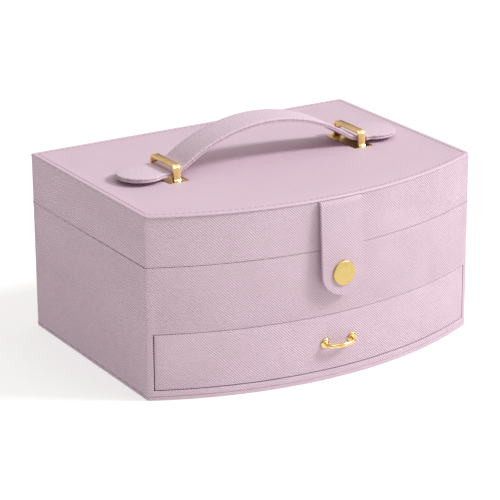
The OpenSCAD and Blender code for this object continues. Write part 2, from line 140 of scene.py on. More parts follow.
# %% Selecting in code


def alone(obj):
    """Back to object mode, with obj the only selected object."""
    if bpy.context.object and bpy.context.object.mode != "OBJECT":
        bpy.ops.object.mode_set(mode="OBJECT")
    bpy.ops.object.select_all(action="DESELECT")
    obj.select_set(True)
    bpy.context.view_layer.objects.active = obj
    return obj


def edit(obj):
    alone(obj)
    bpy.ops.object.mode_set(mode="EDIT")


def pick(kind, test):
    """In edit mode, select the VERT, EDGE or FACE items that pass the test. The test gets
    a vertex's place, an edge's two ends, or a face's centre and normal."""
    bpy.ops.mesh.select_mode(type=kind)
    bpy.ops.mesh.select_all(action="DESELECT")
    data = bpy.context.object.data
    mesh = bmesh.from_edit_mesh(data)
    items = {"VERT": mesh.verts, "EDGE": mesh.edges, "FACE": mesh.faces}[kind]
    looks = {
        "VERT": lambda v: test(v.co),
        "EDGE": lambda e: test(e.verts[0].co, e.verts[1].co),
        "FACE": lambda f: test(f.calc_center_median(), f.normal),
    }[kind]
    found = [item for item in items if looks(item)]
    for item in found:
        item.select_set(True)
    bmesh.update_edit_mesh(data)
    return len(found)


def pick_sharp(degrees, test=lambda a, b: True):
    """Select the edges whose two faces turn by more than an angle, and pass the test."""
    bpy.ops.mesh.select_mode(type="EDGE")
    bpy.ops.mesh.select_all(action="DESELECT")
    data = bpy.context.object.data
    mesh = bmesh.from_edit_mesh(data)
    found = 0
    for edge in mesh.edges:
        if edge.calc_face_angle(0) > math.radians(degrees) and test(*(v.co for v in edge.verts)):
            edge.select_set(True)
            found += 1
    bmesh.update_edit_mesh(data)
    return found


def extrude(x=0.0, y=0.0, z=0.0):
    bpy.ops.mesh.extrude_region_move(TRANSFORM_OT_translate={"value": (x, y, z)})


def cut(point, normal, clear_outer=False):
    """Bisect everything with a plane; clear_outer drops what the normal points at."""
    bpy.ops.mesh.select_all(action="SELECT")
    bpy.ops.mesh.bisect(plane_co=point, plane_no=normal, clear_outer=clear_outer)


def apply_modifier(obj, kind, **settings):
    """Add a modifier, set it and apply it."""
    alone(obj)
    modifier = obj.modifiers.new(kind.lower(), kind)
    for key, value in settings.items():
        setattr(modifier, key, value)
    bpy.ops.object.modifier_apply(modifier=modifier.name)


# %% [markdown]
# ## Grain coordinates
# Leather is cut from a flat sheet, so its grain runs in the sheet's own two directions.
# Each leather piece gets a UV map in metres: round the bow it follows the arc's length,
# so the grain keeps its pitch there.

# %% Grain coordinates
GRAIN = "grain"


def grain_point(p, n):
    """Sheet coordinates of a point on a face with normal n."""
    if abs(n.z) > 0.75:
        return p.x, -p.y
    if abs(n.x) > 0.92:
        return math.copysign(p.y, n.x) + HALF_W, p.z
    if n.y > 0.3:
        return -p.x, p.z
    return ARC_R * math.atan2(p.x, ARC_Y - p.y), p.z


def lay_grain(obj, sheet=grain_point):
    """Write the grain's UV map, corner by corner."""
    mesh = obj.data
    for layer in list(mesh.uv_layers):
        mesh.uv_layers.remove(layer)
    layer = mesh.uv_layers.new(name=GRAIN)
    for face in mesh.polygons:
        for loop in face.loop_indices:
            place = mesh.vertices[mesh.loops[loop].vertex_index].co
            layer.data[loop].uv = sheet(place, face.normal)


# %% [markdown]
# ## Finishing a piece
# Every piece ends the same way: smooth shading with crisp edges, a material, the CAD body
# it moves with and the CAD nodes it stands for.

# %% Finishing a piece
SMOOTH_ANGLE = math.radians(35)


def volume(obj):
    """Signed volume: positive when the faces point outwards."""
    mesh = bmesh.new()
    mesh.from_mesh(obj.data)
    result = mesh.calc_volume(signed=True)
    mesh.free()
    return result


def finish_piece(obj, name, body, material, stands_for=(), angle=SMOOTH_ANGLE):
    alone(obj)
    obj.name = name
    obj.data.name = name
    bpy.ops.object.transform_apply(location=True, rotation=True, scale=True)
    bpy.ops.object.shade_smooth_by_angle(angle=angle)
    obj.data.materials.clear()
    obj.data.materials.append(material)
    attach(obj, body)
    if stands_for:
        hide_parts(*stands_for)
    print(f"{name}: {len(obj.data.polygons)} faces, volume {volume(obj) * 1e6:.2f} cm3")
    return obj


# %% [markdown]
# ## Reading a material as a list of nodes
# `shader` starts a Principled material, and `node` adds one node, sets its values and
# links its inputs, so that each finish below reads as a short list from pattern to shader.

# %% Node helpers


def shader(name, **values):
    """New Principled material; values are set straight on the shader's own sockets."""
    material = bpy.data.materials.new(name)
    material.use_nodes = True
    tree = material.node_tree
    tree.nodes.clear()
    output = tree.nodes.new("ShaderNodeOutputMaterial")
    principled = tree.nodes.new("ShaderNodeBsdfPrincipled")
    tree.links.new(principled.outputs[0], output.inputs["Surface"])
    for socket, value in values.items():
        principled.inputs[socket.replace("_", " ")].default_value = value
    return material, tree, principled


def node(tree, kind, inputs=None, **settings):
    """Add a node. inputs maps a socket to a number, a vector or another node's output."""
    new = tree.nodes.new("ShaderNode" + kind)
    for key, value in settings.items():
        setattr(new, key, value)
    for socket, value in (inputs or {}).items():
        if isinstance(value, bpy.types.NodeSocket):
            tree.links.new(value, new.inputs[socket])
        else:
            new.inputs[socket].default_value = value
    return new.outputs[0]


def ramp(tree, factor, *stops):
    """Colour ramp from (place, colour) stops."""
    new = tree.nodes.new("ShaderNodeValToRGB")
    tree.links.new(factor, new.inputs[0])
    elements = new.color_ramp.elements
    while len(elements) < len(stops):
        elements.new(0.5)
    for element, (place, colour) in zip(elements, stops):
        element.position = place
        element.color = (*colour, 1) if len(colour) == 3 else colour
    return new.outputs[0]


def math_node(tree, operation, a, b=0.0, clamp=False):
    return node(tree, "Math", {0: a, 1: b}, operation=operation, use_clamp=clamp)


def grey(value):
    return (value, value, value)


# %% [markdown]
# ## Cross-hatched leather
# The covering is embossed with fine ridges that run diagonally, a little over a millimetre
# apart, crossed by a weaker set. Colour alone would look printed, so both sets go to the
# bump as well, where a light from the side catches them. Their grooves are also painted darker: painted shade in
# the colour.
# The ridges wander slightly and come and go in patches, as they do on the real sheet.

# %% Cross-hatched leather
RIDGE_PITCH = 1.3
CROSS_PITCH = 1.1
RIDGE_HEIGHT = 0.4 * MM


def ridges(tree, across, pitch):
    """A row of rounded ridges, 0 in the grooves and 1 on top, from a place in mm."""
    phase = math_node(tree, "MULTIPLY", across, 2 * math.pi / pitch)
    wave = math_node(tree, "SINE", phase)
    return node(tree, "MapRange", {"Value": wave, "From Min": -1.0, "From Max": 1.0})


def leather(name, colour, painted_groove_shade, hatched=0.85, strength=1.0, roughness=0.5):
    """Leather whose grain is hatched ridges and, for the rest of it, fine speckle."""
    material, tree, principled = shader(name, Roughness=roughness, Specular_IOR_Level=0.4)
    sheet = node(tree, "UVMap", uv_map=GRAIN)
    in_mm = node(tree, "VectorMath", {0: sheet, "Scale": 1000.0}, operation="SCALE")
    wander = node(tree, "TexNoise", {"Vector": in_mm, "Scale": 0.05, "Detail": 2.0})
    shift = math_node(tree, "MULTIPLY", math_node(tree, "SUBTRACT", wander, 0.5), 3.0)
    parts = tree.nodes.new("ShaderNodeSeparateXYZ")
    tree.links.new(in_mm, parts.inputs[0])
    u, v = parts.outputs[0], parts.outputs[1]
    diagonal = math_node(tree, "MULTIPLY", math_node(tree, "ADD", u, v), math.sqrt(0.5))
    counter = math_node(tree, "MULTIPLY", math_node(tree, "SUBTRACT", u, v), math.sqrt(0.5))
    first = ridges(tree, math_node(tree, "ADD", diagonal, shift), RIDGE_PITCH)
    second = ridges(tree, math_node(tree, "ADD", counter, shift), CROSS_PITCH)
    patch = node(tree, "TexNoise", {"Vector": in_mm, "Scale": 0.11, "Detail": 3.0})
    share = node(
        tree, "MapRange",
        {"Value": patch, "From Min": 0.35, "From Max": 0.65, "To Min": 0.6, "To Max": 0.95},
    )
    hatch = node(tree, "Mix", {"Factor": share, "A": second, "B": first}, data_type="FLOAT")
    speck = node(tree, "TexNoise", {"Vector": in_mm, "Scale": 0.9, "Detail": 2.0})
    speckle = node(tree, "MapRange", {"Value": speck, "From Min": 0.3, "From Max": 0.7})
    grain = node(
        tree, "Mix", {"Factor": hatched, "A": speckle, "B": hatch}, data_type="FLOAT"
    )
    pores = node(tree, "TexNoise", {"Vector": in_mm, "Scale": 3.2, "Detail": 4.0})
    height = math_node(tree, "ADD", grain, math_node(tree, "MULTIPLY", pores, 0.2))
    bump = node(
        tree, "Bump", {"Height": height, "Strength": strength, "Distance": RIDGE_HEIGHT}
    )
    cloud = node(tree, "TexNoise", {"Vector": in_mm, "Scale": 0.03, "Detail": 2.0})
    # Painted shade: the colour ramp darkens the grain's low places, so the grooves carry painted shade; the cloud
    # adds real tone that varies at random.
    tone = math_node(
        tree, "ADD", math_node(tree, "MULTIPLY", grain, 0.85),
        math_node(tree, "MULTIPLY", cloud, 0.15),
    )
    tree.links.new(ramp(tree, tone, (0.08, painted_groove_shade), (0.92, colour)), principled.inputs["Base Color"])
    rough = node(
        tree, "MapRange",
        {"Value": height, "From Max": 1.2, "To Min": roughness + 0.12, "To Max": roughness - 0.06},
    )
    tree.links.new(rough, principled.inputs["Roughness"])
    tree.links.new(bump, principled.inputs["Normal"])
    return material


chest_leather = leather("chest_leather", (0.88, 0.72, 0.82), (0.43, 0.285, 0.35))
pad_leather = leather(
    "pad_leather", (0.73, 0.585, 0.68), (0.55, 0.41, 0.49), hatched=0.75, strength=0.45
)
strap_leather = leather(
    "strap_leather", (0.81, 0.675, 0.765), (0.53, 0.405, 0.485), hatched=0.25, strength=0.5
)

# %% [markdown]
# ## Brass, steel, velvet, board and mirror
# Polished brass is smooth metal with faint scratches; the snap's cap is duller. Velvet is
# matt with a soft sheen and a pile that leans in patches. The boards are fibreboard
# covered with pale paper.

# %% Brass, steel, velvet, board and mirror


def object_place(tree):
    """Coordinates that stay with the piece, in metres."""
    return tree.nodes.new("ShaderNodeTexCoord").outputs["Object"]


def metal(name, colour, roughness, scratches=0.05, scale=900.0):
    material, tree, principled = shader(name, Metallic=1.0)
    place = object_place(tree)
    wear = node(tree, "TexNoise", {"Vector": place, "Scale": scale, "Detail": 5.0})
    smudge = node(tree, "TexNoise", {"Vector": place, "Scale": scale / 8, "Detail": 2.0})
    dull = tuple(c * 0.93 for c in colour)
    tree.links.new(ramp(tree, smudge, (0.35, dull), (0.65, colour)), principled.inputs["Base Color"])
    rough = node(
        tree, "MapRange",
        {"Value": wear, "From Min": 0.3, "From Max": 0.7, "To Min": roughness * 0.75,
         "To Max": roughness * 1.35},
    )
    tree.links.new(rough, principled.inputs["Roughness"])
    bump = node(tree, "Bump", {"Height": wear, "Strength": scratches, "Distance": 0.05 * MM})
    tree.links.new(bump, principled.inputs["Normal"])
    return material


def velvet(name, colour, shade):
    material, tree, principled = shader(
        name, Roughness=0.95, Sheen_Weight=0.6, Sheen_Roughness=0.45,
        Specular_IOR_Level=0.1,
    )
    place = object_place(tree)
    pile = node(tree, "TexNoise", {"Vector": place, "Scale": 2600.0, "Detail": 3.0})
    lean = node(tree, "TexNoise", {"Vector": place, "Scale": 45.0, "Detail": 3.0})
    tone = math_node(
        tree, "ADD", math_node(tree, "MULTIPLY", pile, 0.45),
        math_node(tree, "MULTIPLY", lean, 0.55),
    )
    tree.links.new(ramp(tree, tone, (0.35, shade), (0.62, colour)), principled.inputs["Base Color"])
    bump = node(tree, "Bump", {"Height": pile, "Strength": 0.5, "Distance": 0.25 * MM})
    tree.links.new(bump, principled.inputs["Normal"])
    return material


def paper_board(name, colour, shade):
    material, tree, principled = shader(name, Roughness=0.8, Specular_IOR_Level=0.25)
    place = object_place(tree)
    fibres = node(tree, "TexNoise", {"Vector": place, "Scale": 700.0, "Detail": 6.0})
    tree.links.new(ramp(tree, fibres, (0.3, shade), (0.7, colour)), principled.inputs["Base Color"])
    bump = node(tree, "Bump", {"Height": fibres, "Strength": 0.25, "Distance": 0.08 * MM})
    tree.links.new(bump, principled.inputs["Normal"])
    return material


def mirror_glass(name):
    material, tree, principled = shader(
        name, Metallic=1.0, Coat_Weight=0.6, Coat_Roughness=0.02
    )
    place = object_place(tree)
    haze = node(tree, "TexNoise", {"Vector": place, "Scale": 30.0, "Detail": 4.0})
    tree.links.new(
        ramp(tree, haze, (0.3, (0.86, 0.88, 0.88)), (0.7, (0.92, 0.94, 0.94))),
        principled.inputs["Base Color"],
    )
    rough = node(
        tree, "MapRange",
        {"Value": haze, "From Min": 0.3, "From Max": 0.7, "To Min": 0.015, "To Max": 0.05},
    )
    tree.links.new(rough, principled.inputs["Roughness"])
    return material


polished_brass = metal("polished_brass", (0.93, 0.70, 0.30), 0.18)
satin_brass = metal("satin_brass", (0.76, 0.575, 0.22), 0.36, scratches=0.12, scale=1500.0)
zinc_steel = metal("zinc_steel", (0.62, 0.62, 0.64), 0.35)
pink_velvet = velvet("pink_velvet", (0.80, 0.66, 0.69), (0.62, 0.47, 0.51))
lined_board = paper_board("lined_board", (0.80, 0.69, 0.69), (0.70, 0.58, 0.58))
silvered_glass = mirror_glass("silvered_glass")

# %% [markdown]
# ## Floor, background and lights
# The world is bright overhead and darker near the horizon and on the left, so the left
# side stays a step darker and the brass has something dark to reflect. A sun from the
# right is the key: it is low enough to catch the grain. The floor glows a little, which
# keeps the shadow pale, and a small area light gives the brass a gleam.

# %% Floor, background and lights
bpy.context.scene.view_settings.view_transform = "Standard"

world = bpy.data.worlds.new("studio")
bpy.context.scene.world = world
world.use_nodes = True
sky_tree = world.node_tree
sky_way = sky_tree.nodes.new("ShaderNodeTexCoord").outputs["Generated"]
sky_parts = sky_tree.nodes.new("ShaderNodeSeparateXYZ")
sky_tree.links.new(sky_way, sky_parts.inputs[0])
sky_height = ramp(
    sky_tree, sky_parts.outputs["Z"],
    (0.0, (0.21, 0.145, 0.13)), (0.3, (0.56, 0.46, 0.43)), (1.0, (0.90, 0.88, 0.87)),
)
sky_side = node(
    sky_tree, "MapRange",
    {"Value": sky_parts.outputs["X"], "From Min": -1.0, "From Max": 0.2, "To Min": 0.35},
)
sky = node(sky_tree, "VectorMath", {0: sky_height, "Scale": sky_side}, operation="SCALE")
sky_tree.links.new(sky, sky_tree.nodes["Background"].inputs["Color"])

bpy.ops.object.select_all(action="DESELECT")
bpy.ops.mesh.primitive_plane_add(size=60, location=(0, 0, -0.2 * MM))
floor = bpy.context.object
floor.name = "studio_floor"
floor_finish, floor_tree, floor_shader = shader(
    "studio_floor", Roughness=0.95, Emission_Color=(1, 1, 1, 1), Emission_Strength=0.62
)
floor_noise = node(floor_tree, "TexNoise", {"Scale": 2.0, "Detail": 2.0})
floor_tree.links.new(
    ramp(floor_tree, floor_noise, (0.3, grey(0.44)), (0.7, grey(0.46))),
    floor_shader.inputs["Base Color"],
)
floor.data.materials.append(floor_finish)


def light_from(kind, name, azimuth, elevation, distance=1.6, colour=(1, 1, 1), **settings):
    """A light at a direction round the chest, facing its middle."""
    middle = Vector((0, 0, 70 * MM))
    a, e = math.radians(azimuth), math.radians(elevation)
    way = Vector((math.sin(a) * math.cos(e), -math.cos(a) * math.cos(e), math.sin(e)))
    bpy.ops.object.light_add(type=kind, location=middle + way * distance)
    light = bpy.context.object
    light.name = name
    light.data.color = colour
    light.rotation_euler = way.to_track_quat("Z", "Y").to_euler()
    for key, value in settings.items():
        setattr(light.data, key, value)
    return light


light_from("SUN", "key", 57, 38, colour=(0.96, 0.98, 1.0), energy=2.5, angle=math.radians(14))
light_from("AREA", "gleam", 20, 62, distance=1.1, size=0.25, energy=1.2)
print("lights placed")

# %% [markdown]
# ## Drawing with a point
# Most outlines here start as one point: a plane's first corner with the rest deleted.
# The point is extruded along straight runs and spun round arcs, then the loop is closed
# and filled. `spin` turns by the right-hand rule.

# %% Drawing with a point
NEAR = 0.02 * MM


def start_point(name, place):
    """A new object of one selected vertex, left in edit mode."""
    side = 2 * MM
    place = Vector(place)
    if bpy.context.object and bpy.context.object.mode != "OBJECT":
        bpy.ops.object.mode_set(mode="OBJECT")
    bpy.ops.object.select_all(action="DESELECT")
    bpy.ops.mesh.primitive_plane_add(size=side, location=place + Vector((side, side, 0)) / 2)
    obj = bpy.context.object
    obj.name = name
    bpy.ops.object.transform_apply(location=True, rotation=False, scale=False)
    edit(obj)
    pick("VERT", lambda p: (p - place).length > side / 2)
    bpy.ops.mesh.delete(type="VERT")
    bpy.ops.mesh.select_all(action="SELECT")
    return obj


def spin(steps, angle, center, axis):
    bpy.ops.mesh.spin(steps=steps, angle=angle, center=center, axis=-Vector(axis))


def merge(distance=0.01 * MM):
    bpy.ops.mesh.select_all(action="SELECT")
    bpy.ops.mesh.remove_doubles(threshold=distance)


def outward():
    bpy.ops.mesh.select_all(action="SELECT")
    bpy.ops.mesh.normals_make_consistent(inside=False)


def trace(name, points):
    """A filled face through the points, left selected in edit mode."""
    obj = start_point(name, points[0])
    for a, b in zip(points, points[1:] + points[:1]):
        extrude(*(Vector(b) - Vector(a)))
    merge()
    bpy.ops.mesh.select_all(action="SELECT")
    bpy.ops.mesh.edge_face_add()
    return obj


def on_edge(level):
    """Test for edges of the outer rim at one height."""
    def test(a, b):
        return (
            abs(a.z - level) < NEAR and abs(b.z - level) < NEAR
            and (a - b).length > NEAR and max(abs(depth_in(a)), abs(depth_in(b))) < 0.35 * MM
        )
    return test


def bevel(width, segments=3):
    bpy.ops.mesh.bevel(offset=width, segments=segments, profile=0.5, clamp_overlap=True)


# %% [markdown]
# ## The outline of the body
# Base, case, lid and padded top all share one plan: straight back and sides and a bowed
# front. The front is one spin of the first corner point. The four corners are rounded a
# little, as leather rounds over a board's edge.

# %% The outline of the body
BOW_STEPS = 64
CORNER = 0.9 * MM


def body_outline(name, z, inset=0.0, corner=CORNER):
    half = HALF_W - inset
    front = arc_y(half, inset)
    rear = BACK - inset
    sweep = 2 * math.asin(half / (ARC_R - inset))
    obj = start_point(name, (-half, front, z))
    spin(BOW_STEPS, sweep, (0, ARC_Y, z), (0, 0, 1))
    extrude(y=rear - front)
    extrude(x=-2 * half)
    extrude(y=front - rear)
    merge()
    bpy.ops.mesh.select_all(action="SELECT")
    bpy.ops.mesh.edge_face_add()
    found = pick(
        "VERT",
        lambda p: abs(abs(p.x) - half) < NEAR
        and (abs(p.y - front) < NEAR or abs(p.y - rear) < NEAR),
    )
    bpy.ops.mesh.bevel(offset=corner, segments=4, affect="VERTICES")
    bpy.ops.mesh.select_all(action="SELECT")
    print(name, "corners rounded:", found)
    return obj


# %% [markdown]
# ## Base
# A thin board wrapped in the same leather, flush with the walls. Its top and bottom
# edges are rolled over, which draws the fine line between base and wall.

# %% Base
base = body_outline("base_leather", 0)
extrude(z=BASE_TOP)
outward()
for level in (0, BASE_TOP):
    pick("EDGE", on_edge(level))
    bevel(0.6 * MM)
bpy.ops.object.mode_set(mode="OBJECT")
lay_grain(base)
finish_piece(base, "base_leather", "case", chest_leather, ["base_board"])

# %% [markdown]
# ## The case's leather
# One skin wraps the case: up the walls, over their top edges and a little way in, and
# round the edges of the drawer's window. It is a shell drawn as a surface: walls are
# extruded, the top face is inset to the wall's thickness and turned in, the window and
# the hinges' room are cut with bisect, and Solidify gives the leather its thickness.

# %% The case's leather
SIDE_T = HALF_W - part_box("tray_liner")[1].x
BACK_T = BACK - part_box("tray_liner")[1].y
FRONT_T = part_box("tray_liner")[0].y - FRONT
TURN = 0.7 * MM


def turn_in(level, way):
    """Inset the face at a height to the walls' thickness and turn its rim in."""
    pick("FACE", lambda c, n: abs(n.z) > 0.9 and abs(c.z - level) < NEAR)
    bpy.ops.mesh.inset(thickness=SIDE_T, depth=0)
    inner = lambda p: abs(p.z - level) < NEAR and depth_in(p) > SIDE_T * 0.9
    pick("VERT", lambda p: inner(p) and p.y > BACK - SIDE_T - 2 * CORNER)
    bpy.ops.transform.translate(value=(0, SIDE_T - BACK_T, 0))
    pick("VERT", lambda p: inner(p) and p.y < BACK - SIDE_DEPTH + SIDE_T)
    bpy.ops.transform.translate(value=(0, FRONT_T - SIDE_T, 0))
    pick("FACE", lambda c, n: abs(n.z) > 0.9 and abs(c.z - level) < NEAR
         and depth_in(c) > 3 * SIDE_T)
    extrude(z=way * TURN)
    bpy.ops.mesh.delete(type="FACE")


def slice_at(**places):
    """Bisect the whole mesh at each given x, y or z."""
    for axis, values in places.items():
        normal = Vector([axis == name for name in "xyz"])
        for value in values:
            cut(normal * value, normal)


HINGE_LENGTH = 28 * MM


def open_hinge_room(low, high):
    """Cut the room for both hinges out of the back edge between two heights."""
    leaves_lo, leaves_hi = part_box("hinge_case_leaves")
    clear = 0.3 * MM
    outer, inner = leaves_hi.x + clear, leaves_hi.x - HINGE_LENGTH - clear
    deep = leaves_lo.y - clear / 2
    slice_at(x=[-outer, -inner, inner, outer], y=[deep], z=[low, high])
    found = pick("FACE", lambda c, n: inner < abs(c.x) < outer and c.y > deep
                 and low < c.z < high)
    bpy.ops.mesh.delete(type="FACE")
    return found


SHELL_TOP = CASE_TOP + 0.15 * MM
SHELL_LOW = BASE_TOP + 0.05 * MM
barrel_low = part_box("hinge_case_leaves")[0].z
barrel_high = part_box("hinge_case_leaves")[1].z
BARREL_GAP = 0.35 * MM

case = body_outline("case_leather", SHELL_LOW)
extrude(z=SHELL_TOP - SHELL_LOW)
outward()
turn_in(SHELL_TOP, -1)
pick("FACE", lambda c, n: n.z < -0.9 and abs(c.z - SHELL_LOW) < NEAR)
bpy.ops.mesh.inset(thickness=2.5 * MM, depth=0)
bpy.ops.mesh.delete(type="FACE")
pick("EDGE", on_edge(SHELL_TOP))
bevel(0.35 * MM)
pick("EDGE", on_edge(SHELL_LOW))
bevel(0.5 * MM)

# %% [markdown]
# The drawer's window is cut in the bowed front. Its edge is extruded inwards, so that
# the leather turns round the edge of the boards into the bay, and then rounded.

# %% The drawer's window
BAY_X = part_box("case_floor")[1].x
BAY_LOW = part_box("case_floor")[1].z
BAY_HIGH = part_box("case_shelf")[0].z
RETURN = 5 * MM

slice_at(x=[-BAY_X, BAY_X], z=[BAY_LOW, BAY_HIGH])
pick("FACE", lambda c, n: n.y < -0.3 and abs(c.x) < BAY_X and BAY_LOW < c.z < BAY_HIGH)
bpy.ops.mesh.delete(type="FACE")


def on_window(p):
    beside = abs(abs(p.x) - BAY_X) < NEAR and BAY_LOW - NEAR < p.z < BAY_HIGH + NEAR
    above = abs(p.x) < BAY_X + NEAR and min(abs(p.z - BAY_LOW), abs(p.z - BAY_HIGH)) < NEAR
    return (beside or above) and abs(p.y - arc_y(p.x)) < 0.3 * MM


pick("EDGE", lambda a, b: on_window(a) and on_window(b))
extrude(y=RETURN)
pick("EDGE", lambda a, b: on_window(a) and on_window(b))
bevel(0.25 * MM, 2)
print("hinge room faces:", open_hinge_room(barrel_low - BARREL_GAP, CASE_TOP + 1 * MM))
bpy.ops.object.mode_set(mode="OBJECT")
apply_modifier(case, "SOLIDIFY", thickness=SKIN, offset=-1)
lay_grain(case)
finish_piece(case, "case_leather", "case", chest_leather, ["case_wrap"])

# %% [markdown]
# ## The lid's leather
# The lid's frame is wrapped the same way. Its lower edge is turned in, its upper edge is
# hidden under the padded top, and a slot at the front lets the flap's root through.

# %% The lid's leather
LID_LOW = LID_BOTTOM - 0.15 * MM
FLAP_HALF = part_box("flap_root")[1].x
SLOT_HALF = FLAP_HALF + 0.4 * MM
SLOT_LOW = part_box("flap_root")[0].z - 0.1 * MM

lid = body_outline("lid_leather", LID_LOW)
extrude(z=PANEL_BOTTOM - LID_LOW)
outward()
turn_in(LID_LOW, 1)
pick("FACE", lambda c, n: n.z > 0.9 and abs(c.z - PANEL_BOTTOM) < NEAR)
bpy.ops.mesh.inset(thickness=3 * MM, depth=0)
bpy.ops.mesh.delete(type="FACE")
pick("EDGE", on_edge(LID_LOW))
bevel(0.35 * MM)
pick("EDGE", on_edge(PANEL_BOTTOM))
bevel(0.5 * MM)
slice_at(x=[-SLOT_HALF, SLOT_HALF], z=[SLOT_LOW])
pick("FACE", lambda c, n: abs(c.x) < SLOT_HALF and c.y < 0 and c.z > SLOT_LOW)
bpy.ops.mesh.delete(type="FACE")
print("hinge room faces:", open_hinge_room(LID_LOW - 1 * MM, barrel_high + BARREL_GAP))
bpy.ops.object.mode_set(mode="OBJECT")
apply_modifier(lid, "SOLIDIFY", thickness=SKIN, offset=-1)
lay_grain(lid)
finish_piece(lid, "lid_leather", "lid", chest_leather, ["lid_wrap"])

# %% [markdown]
# ## The drawer's front
# A bowed board wrapped in leather. The first point is spun along the bow, the arc is
# extruded up, Solidify makes it as thick as the board, and its edges are rounded.

# %% The drawer's front
front_lo, front_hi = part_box("drawer_front_wrap")
front_lo -= Vector((0.1, 0, 0.1)) * MM
front_hi += Vector((0.1, 0, 0.1)) * MM
FRONT_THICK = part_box("drawer_lining")[0].y - FRONT
half_sweep = math.asin(front_hi.x / ARC_R)

drawer_front = start_point(
    "drawer_front_leather", (-front_hi.x, arc_y(front_hi.x), front_lo.z)
)
spin(BOW_STEPS, 2 * half_sweep, (0, ARC_Y, front_lo.z), (0, 0, 1))
bpy.ops.mesh.select_all(action="SELECT")
extrude(z=front_hi.z - front_lo.z)
bpy.ops.object.mode_set(mode="OBJECT")
apply_modifier(drawer_front, "SOLIDIFY", thickness=FRONT_THICK, offset=-1)
edit(drawer_front)
outward()
rim = {front_lo.z, front_hi.z}


def on_front_rim(a, b):
    """Sharp edges of the drawer's front: its bowed edges and its corners."""
    level = any(abs(a.z - z) < NEAR and abs(b.z - z) < NEAR for z in rim)
    along = level and abs(a.x - b.x) > NEAR
    corner = abs(a.z - b.z) > 10 * MM and abs(a.x) > front_hi.x - 3 * MM
    return along or corner


pick("EDGE", on_front_rim)
bevel(0.5 * MM, 3)
bpy.ops.object.mode_set(mode="OBJECT")
lay_grain(drawer_front)
finish_piece(
    drawer_front, "drawer_front_leather", "drawer", chest_leather,
    ["drawer_front_wrap"],
)

# %% [markdown]
# ## The padded top
# Thin foam on a board, covered with leather whose edge is rolled over and sewn down. A
# bevel and insets pinch at the corners, so outlines of the body are stacked instead, over
# the rolled edge and down into the sewn line, and bridged. A grid of cuts gives the middle
# enough points to move, and two sunk places hold the brass plates. Then the cloth solver
# blows the leather up a little between the sewn line and the plates, as the foam does.

# %% The padded top's shape
cover_lo, cover_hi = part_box("lid_top_cover")
OVERHANG = cover_hi.x - HALF_W
PAD_TOP = LID_TOP - 0.3 * MM
ROLL_R = 1.25 * MM
SEWN_IN = 4.0 * MM
PAD_GRID = 6 * MM
PLATE_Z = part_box("handle_plate_left")[0].z
plate_boxes = [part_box("handle_plate_left"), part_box("handle_plate_right")]


def joined(pieces):
    """Join objects into the first one."""
    alone(pieces[0])
    for piece in pieces:
        piece.select_set(True)
    bpy.ops.object.join()
    return pieces[0]


def stack(name, rings):
    """Body outlines at (inset, height, corner), bridged into one skin. The first and the
    last stay filled."""
    obj = None
    for number, (inset, z, corner) in enumerate(rings):
        ring = body_outline(f"{name}_{number}", z, inset, corner)
        if 0 < number < len(rings) - 1:
            bpy.ops.mesh.delete(type="ONLY_FACE")
        bpy.ops.object.mode_set(mode="OBJECT")
        size = len(ring.data.vertices)
        if obj:
            first = len(obj.data.vertices) - size
            obj = joined([obj, ring])
            edit(obj)
            bpy.ops.mesh.select_mode(type="EDGE")
            bpy.ops.mesh.select_all(action="DESELECT")
            mesh = bmesh.from_edit_mesh(obj.data)
            mesh.edges.ensure_lookup_table()
            for edge in mesh.edges:
                a, b = (v.index for v in edge.verts)
                if min(a, b) >= first and (a < first + size) == (b < first + size):
                    edge.select_set(True)
            bmesh.update_edit_mesh(obj.data)
            bpy.ops.mesh.bridge_edge_loops()
            bpy.ops.object.mode_set(mode="OBJECT")
        else:
            obj = ring
    edit(obj)
    outward()
    return obj


pad_rings = [(0.6, cover_lo.z, 1.4), (0.15, cover_lo.z + 0.1 * MM, 2.2)]
for step in range(7):
    turn = math.radians(15 * step)
    pad_rings.append((
        ROLL_R / MM * (1 - math.cos(turn)), PAD_TOP - ROLL_R * (1 - math.sin(turn)),
        2.8 - 0.1 * step,
    ))
for inward, drop in (
    (2.2, 0.02), (3.0, 0.07), (3.6, 0.2), (4.0, 0.42), (4.4, 0.2), (5.2, 0.05), (7.0, 0)
):
    pad_rings.append((inward, PAD_TOP - drop * MM, 2.0))
pad = stack(
    "lid_top", [(inward * MM - OVERHANG, z, corner * MM) for inward, z, corner in pad_rings]
)
PAD_INNER = (pad_rings[-1][0] - 0.3) * MM - OVERHANG


def pad_top(c, n):
    return abs(n.z) > 0.9 and abs(c.z - PAD_TOP) < NEAR and depth_in(c) > PAD_INNER


for low, high in plate_boxes:
    for place, way in ((low, (1, 0, 0)), (high, (1, 0, 0)), (low, (0, 1, 0)), (high, (0, 1, 0))):
        pick("FACE", pad_top)
        bpy.ops.mesh.bisect(plane_co=place, plane_no=way)
for axis, half in ((Vector((1, 0, 0)), HALF_W), (Vector((0, 1, 0)), BACK)):
    steps = int(2 * half / PAD_GRID)
    for step in range(1, steps):
        pick("FACE", pad_top)
        bpy.ops.mesh.bisect(plane_co=axis * (step * 2 * half / steps - half), plane_no=axis)


def on_plate(p, grow=0.0):
    return any(
        low.x - grow < p.x < high.x + grow and low.y - grow < p.y < high.y + grow
        for low, high in plate_boxes
    )


pick("FACE", lambda c, n: pad_top(c, n) and on_plate(c))
extrude(z=PLATE_Z - 0.02 * MM - PAD_TOP)
pick("EDGE", lambda a, b: max(abs(a.z - PAD_TOP), abs(b.z - PAD_TOP)) < NEAR
     and on_plate(a, 0.05 * MM) and on_plate(b, 0.05 * MM) and not on_plate((a + b) / 2, -NEAR))
bevel(0.2 * MM, 2)
outward()
bpy.ops.object.mode_set(mode="OBJECT")
print("pad faces", len(pad.data.polygons), "volume cm3", round(volume(pad) * 1e6, 2))

# %% [markdown]
# The solver gets a pin group: everything but the free leather holds still. Pressure
# pushes it up with no gravity, and what moves further than the cap is brought back.

# %% Blowing up the pad
PAD_RISE = 0.35 * MM


